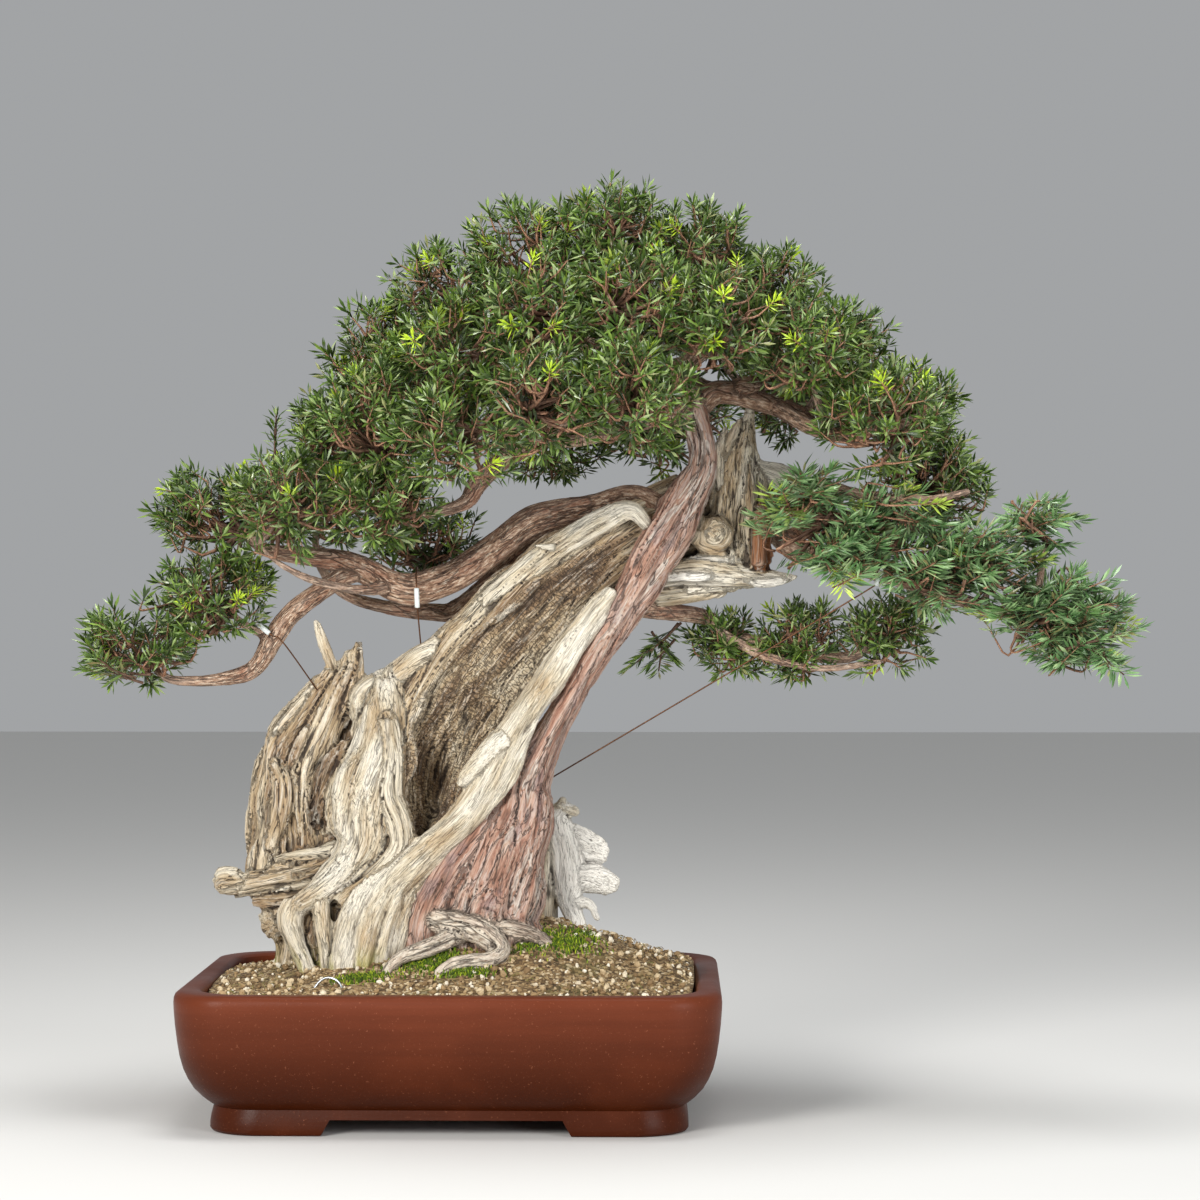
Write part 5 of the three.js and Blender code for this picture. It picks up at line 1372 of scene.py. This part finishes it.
def upper_edges(axis):
    """A test for the edges on top of a block that run along an axis."""
    return lambda edge: min(corner.co.z for corner in edge.verts) > 0 \
        and abs(edge.verts[0].co[axis] - edge.verts[1].co[axis]) > 0.4


print("outlines of the pot", len(BODY_OUT + BODY_IN), "rings, of its foot", len(FOOT_OUT))

# %% Pull up the pot and its foot
pot_body = rounded_slab("clay_pot", *BODY_OUT[0])
pull_rings(BODY_OUT + BODY_IN)
close_shape(pot_body)
foot = rounded_slab("clay_foot", *FOOT_OUT[0])
pull_rings(FOOT_OUT)
close_shape(foot)
inner = rounded_slab("foot_room", 50, -5)
pull_rings([(50, -5), (50, 22), (56, 40)])
cut_away(foot, close_shape(inner))
print("pot and foot", count_triangles(pot_body, foot), "triangles")

# %% Cut the arches and the drain holes, and join both
ACROSS, FRONT_TO_BACK = 0, 1
GATE_HIGH, GATE_ROUND, GATE_FLARE = 30, 11, 1.16
for wide, long, way in ((211, 600, FRONT_TO_BACK), (600, 150, ACROSS)):
    clear_selection()
    bpy.ops.mesh.primitive_cube_add(size=1, location=POT_MIDDLE)
    gate = bpy.context.object
    gate.scale = (wide * MM, long * MM, GATE_HIGH * MM)
    bpy.ops.object.transform_apply(location=False, rotation=False, scale=True)
    bpy.ops.object.mode_set(mode="EDIT")
    choose(gate, "edges", upper_edges(way))
    bpy.ops.mesh.bevel(offset=GATE_ROUND * MM, segments=8, profile=0.5)
    choose(gate, "verts", lambda corner: corner.co.z < 0)
    spread = [1.0, 1.0, 1.0]
    spread[1 - way] = GATE_FLARE
    bpy.ops.transform.resize(value=spread, center_override=POT_MIDDLE)
    cut_away(foot, close_shape(gate))
DRAIN_SIDES, DRAIN_HALF = (-110, 110), 13
for side in DRAIN_SIDES:
    clear_selection()
    bpy.ops.mesh.primitive_cylinder_add(vertices=40, radius=DRAIN_HALF * MM, depth=40 * MM,
                                        location=POT_MIDDLE + np.array([side, 0, 28]) * MM)
    hole = bpy.context.object
    bpy.ops.object.transform_apply(location=True, rotation=False, scale=False)
    cut_away(pot_body, hole)
make_current(pot_body)
foot.select_set(True)
bpy.ops.object.join()
edit_all(pot_body)
face_out(pot_body)
bpy.ops.object.shade_smooth_by_angle(angle=math.radians(35))
print("pot", count_triangles(pot_body), "triangles")

# %% Finish of the clay
clay = Finish("red_clay", roughness=0.4, Specular_IOR_Level=0.12)
place = clay.place()
broad = clay.cloud(place, 9, 3, 0.6)
wiped = clay.cloud(clay.stretched(place, (3, 3, 60)), 1.0, 4, 0.6)
specks = clay.cloud(place, 420, 3, 0.7)
clay_colour = clay.colours(clay.span(broad, 0.3, 0.7), (0.0, 60, 22, 4), (0.5, 66, 25, 5),
                           (1.0, 76, 31, 9))
clay_colour = clay.layered(
    clay_colour,
    # Painted highlight: the clay is painted paler towards the rim.
    (clay.span(clay.split(place)[2], 0.03, 0.15, 0, 0.6), (124, 62, 40)),
    (clay.span(wiped, 0.4, 0.75, 0, 0.3), (60, 24, 8)),
    (clay.span(specks, 0.62, 0.74, 0, 0.35), (176, 112, 82)))
clay_gloss = clay.span(clay.plus(broad, clay.times(wiped, 0.5)), 0.4, 1.0, 0.3, 0.5)
clay_height = clay.plus(clay.times(specks, 0.5), wiped)
cover(pot_body, clay.finish(clay_colour, clay.relief(clay_height, 0.0005, 0.7), clay_gloss))
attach(pot_body, "root")
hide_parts("pot")
print("clay finished")

# %% [markdown]
# ## Soil, grit and moss
#
# The pot is filled with tan grit that rises to a mound round the trunk. Dead moss lies over it as
# thin curled threads, and live moss grows in bright patches where the roots shade it. The mound is
# one surface, and the grit, threads and moss are three pieces strewn on it.

# %% The mound
SOIL_HALF = np.array([225.5, 174.0])
EDGE_HIGH, MOUND_HIGH = 121, 66


def soil_height(x, y):
    return EDGE_HIGH + MOUND_HIGH * np.exp(-((x - 35) / 175)**2 - ((y - 5) / 105)**2)


def soil_outline(count):
    """Directions round the soil, out to its round-cornered edge."""
    angle = np.linspace(0, 2 * np.pi, count, endpoint=False)
    corner = np.stack([np.sign(np.cos(angle)) * np.abs(np.cos(angle))**0.32,
                       np.sign(np.sin(angle)) * np.abs(np.sin(angle))**0.32], -1)
    return corner * SOIL_HALF


SOIL_RINGS, SOIL_AROUND = 64, 180
outline = soil_outline(SOIL_AROUND)
share = np.linspace(0.012, 1, SOIL_RINGS)[:, None, None]
flat = (outline[None] * share + [35, 0] * (1 - share)).reshape(-1, 2)
height = soil_height(flat[:, 0], flat[:, 1])
rough_places = np.column_stack([flat, np.zeros(len(flat))])
height += 1.6 * noise(rough_places * 0.09, 21) + 1.1 * noise(rough_places * 0.3, 22)
top = np.column_stack([flat, height])
under = np.column_stack([outline * 0.96, np.full(SOIL_AROUND, 70.0)])
ends = [[35, 0, soil_height(35, 0)], [0, 0, 70]]
soil = mesh_piece("soil_mound", np.vstack([top, under, ends]), ring_faces(SOIL_RINGS + 1, SOIL_AROUND))
edit_all(soil)
face_out(soil)
print("soil", count_triangles(soil), "triangles")

# %% Six pebbles
grit_dice = np.random.RandomState(31)
PEBBLE_KINDS, PEBBLE_COUNT, PEBBLE_CORNERS = 6, 2400, 12
PEBBLES = []
for _ in range(PEBBLE_KINDS):
    clear_selection()
    bpy.ops.mesh.primitive_ico_sphere_add(subdivisions=1, radius=MM)
    pebble = bpy.context.object
    edit_all(pebble)
    flatter = (1, grit_dice.uniform(0.65, 0.95), grit_dice.uniform(0.5, 0.85))
    bpy.ops.transform.resize(value=flatter, center_override=(0, 0, 0))
    bpy.ops.object.mode_set(mode="OBJECT")
    pebble_points = read_points(pebble) + POT_MIDDLE / MM
    pebble_points *= grit_dice.uniform(0.8, 1.15, (len(pebble_points), 1))
    PEBBLES.append((pebble_points, np.array([list(face.vertices) for face in pebble.data.polygons])))
    bpy.data.objects.remove(pebble)


print("kinds of pebble", len(PEBBLES))

# %% Strew the grit
def strew(count, random, centre=None, spread=None):
    """Spots on the soil, all over it or round a centre."""
    spots = []
    while len(spots) < count:
        if centre is None:
            spot = random.uniform(-1, 1, 2)
            if (np.abs(spot)**5).sum() > 1:
                continue
            spot = spot * (SOIL_HALF - 3)
        else:
            spot = np.array(centre) + random.normal(0, 0.5, 2) * spread
        spots.append((*spot, soil_height(*spot)))
    return np.array(spots)


spots = strew(PEBBLE_COUNT, grit_dice)
pebble_size = np.clip(grit_dice.lognormal(0.7, 0.42, PEBBLE_COUNT), 0.9, 4.6)
axes = grit_dice.normal(size=(PEBBLE_COUNT, 2, 3))
spins = turned(axes[:, 0] + [0, 0, 0.5], axes[:, 1])
shapes = []
for number, (spot, size) in enumerate(zip(spots, pebble_size)):
    pebble_points, pebble_faces = PEBBLES[number % PEBBLE_KINDS]
    placed = pebble_points * size @ spins[number].T + spot + [0, 0, 0.3 * size]
    shapes.append((placed, pebble_faces))
points, faces = gather(shapes)
grit = mesh_piece("grit", points, [faces], smooth=False)
random_shades(grit, grit_dice, PEBBLE_COUNT, PEBBLE_CORNERS)
print("grit", count_triangles(grit), "triangles")

# %% Dead moss and live moss
# Each patch: its centre, how far it spreads, and how many stems it has.
MOSS_PATCHES = [((-84, -104), (24, 10), 520), ((-20, -86), (34, 18), 900), ((55, -62), (20, 14), 420),
                ((92, -50), (34, 20), 800), ((12, -104), (26, 12), 300), ((120, -30), (20, 20), 200),
                ((-60, 60), (50, 30), 500), ((70, 70), (50, 30), 500)]
THREAD_COUNT, THREAD_RINGS, TUFT_RINGS, SIDES = 1300, 4, 3, 3
moss_dice = np.random.RandomState(32)
spots = strew(THREAD_COUNT, moss_dice)
lie = moss_dice.normal(size=(THREAD_COUNT, 3)) * [1, 1, 0.35]
lie = lie / lengths(lie) * moss_dice.uniform(3.5, 9, (THREAD_COUNT, 1))
rise = moss_dice.uniform(0.6, 3.2, (THREAD_COUNT, 1)) * UP
starts, ends = spots - lie / 2 + rise * 0.5, spots + lie / 2 + rise * 0.3
points, faces, _ = twig_tubes(starts, spots + rise * 2, ends, 0.42, 0.25, THREAD_RINGS, SIDES)
threads = mesh_piece("dead_moss", points, [faces])
random_shades(threads, moss_dice, THREAD_COUNT, THREAD_RINGS * SIDES)

spots = np.vstack([strew(count, moss_dice, centre, spread) for centre, spread, count in MOSS_PATCHES])
lean = moss_dice.normal(size=(len(spots), 3)) * [1.3, 1.3, 0]
tall = moss_dice.uniform(2.0, 4.6, (len(spots), 1)) * UP
starts, ends = spots - UP, spots + tall + lean
points, faces, _ = twig_tubes(starts, spots + tall * 0.6, ends, 0.95, 0.25, TUFT_RINGS, SIDES)
moss = mesh_piece("live_moss", points, [faces])
random_shades(moss, moss_dice, len(spots), TUFT_RINGS * SIDES)
print("moss", count_triangles(threads, moss), "triangles")

# %% Finishes of soil, grit and moss
ground = Finish("tan_soil", roughness=0.95)
place = ground.place()
grains = ground.cells(place, 330, "F1", "Color")
small = ground.cells(place, 330)
ground_pick = ground.split(grains)[0]
ground_colour = ground.colours(ground_pick, (0.0, 72, 54, 34), (0.4, 128, 102, 68), (0.8, 176, 150, 108),
                               (1.0, 212, 194, 160))
ground_colour = ground.layered(
    ground_colour,
    (ground.span(ground.cloud(place, 28, 3, 0.6), 0.5, 0.72, 0, 0.5), (98, 96, 50)),
    # Painted shade: the soil darkens in the gaps between its grains.
    (ground.span(small, 0.5, 0.9, 0, 0.75), (58, 44, 30)))
cover(soil, ground.finish(ground_colour, ground.relief(small, 0.0015, -0.8)))

stone = Finish("pale_grit", roughness=0.85)
pick = stone.split(stone.stored("leaf", "Color"))[0]
stone_colour = stone.colours(pick, (0.0, 116, 92, 62), (0.35, 166, 138, 98), (0.7, 212, 192, 156),
                             (1.0, 246, 240, 222))
stone_colour = stone.blend(stone.span(stone.cloud(stone.place(), 600, 3, 0.7), 0.45, 0.7, 0, 0.35),
                           stone_colour, (120, 94, 62))
cover(grit, stone.finish(stone_colour))


def moss_finish(name, roughness, *stops):
    """A finish in which each stem picks its own colour."""
    finish = Finish(name, roughness)
    pick = finish.split(finish.stored("leaf", "Color"))[0]
    return finish.finish(finish.colours(pick, *stops))


cover(threads, moss_finish("dead_moss_threads", 0.9, (0.0, 92, 66, 42), (0.4, 140, 112, 72),
                           (0.75, 176, 152, 104), (1.0, 120, 124, 60)))
cover(moss, moss_finish("live_moss_green", 0.8, (0.0, 44, 62, 12), (0.5, 92, 122, 16),
                        (0.85, 146, 170, 26), (1.0, 190, 196, 50)))
for piece in (soil, grit, threads, moss):
    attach(piece, "root")
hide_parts("soil")
print("soil finished")

# %% [markdown]
# ## Wires, sleeves and small fittings
#
# Thin brown wires hold three branches down. Each ends in a loop over its branch inside a short grey
# sleeve that saves the bark. A steel tie and the end of a black strap show in the soil, and black
# screens cover the drain holes.

# %% Guy wires and sleeves
# Each wire: its loop's middle, radius and lean, its foot, and the loop's spots inside the sleeve.
GUYS = {
    "left": ((-174, -8, 452), 14, 0.95, (-124, 8, 384), 2, 8),
    "middle": ((-38, 4, 497), 18, 0.05, (-34, 2, 430), 0, 1),
    "right": ((400, -48, 512), 13, -0.4, (64, 24, 300), 0, 3),
}
WIRE_HALF, SLEEVE_HALF, GAP, ARC_SPOTS = 0.7, 2.4, 0.4, 13
wire_metal = cloudy("brown_wire", 300, (62, 40, 28), (120, 82, 56), 0.4, Metallic=0.85)
sleeve_skin = cloudy("grey_sleeve", 260, (196, 206, 206), (232, 236, 232), 0.45)
for name, (middle, radius, lean, foot_spot, first, last) in GUYS.items():
    ring = radius + SLEEVE_HALF + GAP
    angle = np.linspace(0, np.pi, ARC_SPOTS)
    arc = np.stack([np.zeros(ARC_SPOTS), -ring * np.cos(angle), ring * np.sin(angle)], -1)
    arc = np.vstack([[[0, -ring, -radius]], arc])
    tilted = np.stack([arc[:, 0] * np.cos(lean) - arc[:, 2] * np.sin(lean), arc[:, 1],
                       arc[:, 0] * np.sin(lean) + arc[:, 2] * np.cos(lean)], -1) + middle
    sleeve_rows = [(*spot, SLEEVE_HALF) for spot in tilted[first:last + 1]]
    sleeve = mesh_piece("sleeve_" + name, *tube(course(sleeve_rows, 1.5), 14))
    cover(sleeve, sleeve_skin)
    wire_rows = [(*foot_spot, WIRE_HALF), *((*spot, WIRE_HALF) for spot in tilted)]
    wire = mesh_piece("wire_" + name, *tube(course(wire_rows, 3), 8))
    cover(wire, wire_metal)
    for piece, node, finish_slot in ((sleeve, "guy_sleeve_", "sleeve"), (wire, "guy_wire_", "guy_wire")):
        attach(piece, "root")
        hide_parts(node + name)
print("wires", len(GUYS))

# %% Tie, strap and screens
TIE_LOOP = [(-130, -120, 116, 1.2), (-122, -116, 132, 1.2), (-112, -115, 138, 1.2),
            (-101, -118, 133, 1.2), (-95, -121, 116, 1.2)]
STRAP_END = [(141, -6, 120, 3.4, 1.3), (140, -6, 142, 3.2, 1.2), (137, -6, 158, 2.6, 1.1)]
tie = mesh_piece("steel_tie", *tube(course(TIE_LOOP, 1.5), 12))
cover(tie, cloudy("tie_steel", 500, (150, 156, 162), (206, 210, 214), 0.3, detail=2, Metallic=1.0))
black = cloudy("black_plastic", 200, (20, 22, 26), (52, 56, 62), 0.5)
strap = mesh_piece("strap_end", *tube(course(STRAP_END, 1.5), 14))
cover(strap, black)
for piece, node, finish_slot in ((tie, "tie_wire", "tie_wire"), (strap, "soil_tag", "black_plastic")):
    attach(piece, "root")
    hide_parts(node)
for name in ("drain_screen_left", "drain_screen_right"):
    cover(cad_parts[name], black)
print("small fittings finished")

# %% [markdown]
# ## Floor, light and camera
#
# The tree stands on a plain pale floor in a soft room. A warm lamp on the left is brighter than the
# cool one on the right, so the ridges of the wood cast small shadows. A third lamp lights the crown
# from above. The camera looks straight ahead from about three metres away, through a long lens.

# %% Floor
FLOOR_HALF = 9000.0
floor_corners = np.array([[-1, -1, 0], [1, -1, 0], [1, 1, 0], [-1, 1, 0]]) * FLOOR_HALF
floor = mesh_piece("floor", floor_corners, [np.array([[0, 1, 2, 3]])], smooth=False)
cover(floor, Finish("pale_floor", roughness=0.85, Base_Color=shade(222, 221, 218)).material)

print("floor", 2 * FLOOR_HALF * MM, "m wide")

# %% Soft room and lamps
world = bpy.data.worlds.new("soft_room")
bpy.context.scene.world = world
world.use_nodes = True
room = world.node_tree.nodes["Background"].inputs
room["Color"].default_value = (0.86, 0.88, 0.9, 1)
room["Strength"].default_value = 0.42


def softbox(name, place, aim, size, power, colour=(1, 1, 1)):
    """A square lamp of a size in m and a power in W that shines at aim."""
    light = bpy.data.lights.new(name, "AREA")
    light.shape, light.size, light.energy, light.color = "SQUARE", size, power, colour
    lamp = bpy.data.objects.new(name, light)
    bpy.context.scene.collection.objects.link(lamp)
    lamp.location = place
    lamp.rotation_euler = (Vector(place) - Vector(aim)).to_track_quat("Z", "Y").to_euler()


softbox("key_light", (-1.7, -2.7, 1.35), (0, 0, 0.45), 1.0, 92, (1, 0.98, 0.95))
softbox("fill_light", (2.0, -2.3, 0.9), (0, 0, 0.45), 1.2, 44, (0.97, 0.98, 1))
softbox("top_light", (0.1, -0.2, 2.7), (0, 0, 0.5), 1.2, 40)

print("lamps", len(bpy.data.lights))

# %% Camera
camera_data = bpy.data.cameras.new("camera")
camera_data.lens, camera_data.sensor_width, camera_data.clip_end = 99.0, 36.0, 50.0
camera = bpy.data.objects.new("camera", camera_data)
bpy.context.scene.collection.objects.link(camera)
CAMERA_SPOT, CAMERA_TURN = np.array([199.2, -3149.6, 486.0]), 1.146
camera.location = POT_MIDDLE + CAMERA_SPOT * MM
camera.rotation_euler = (math.radians(90), 0, math.radians(CAMERA_TURN))
bpy.context.scene.camera = camera
bpy.context.scene.view_settings.view_transform = "Standard"
print("camera", np.array(camera.location).round(3))
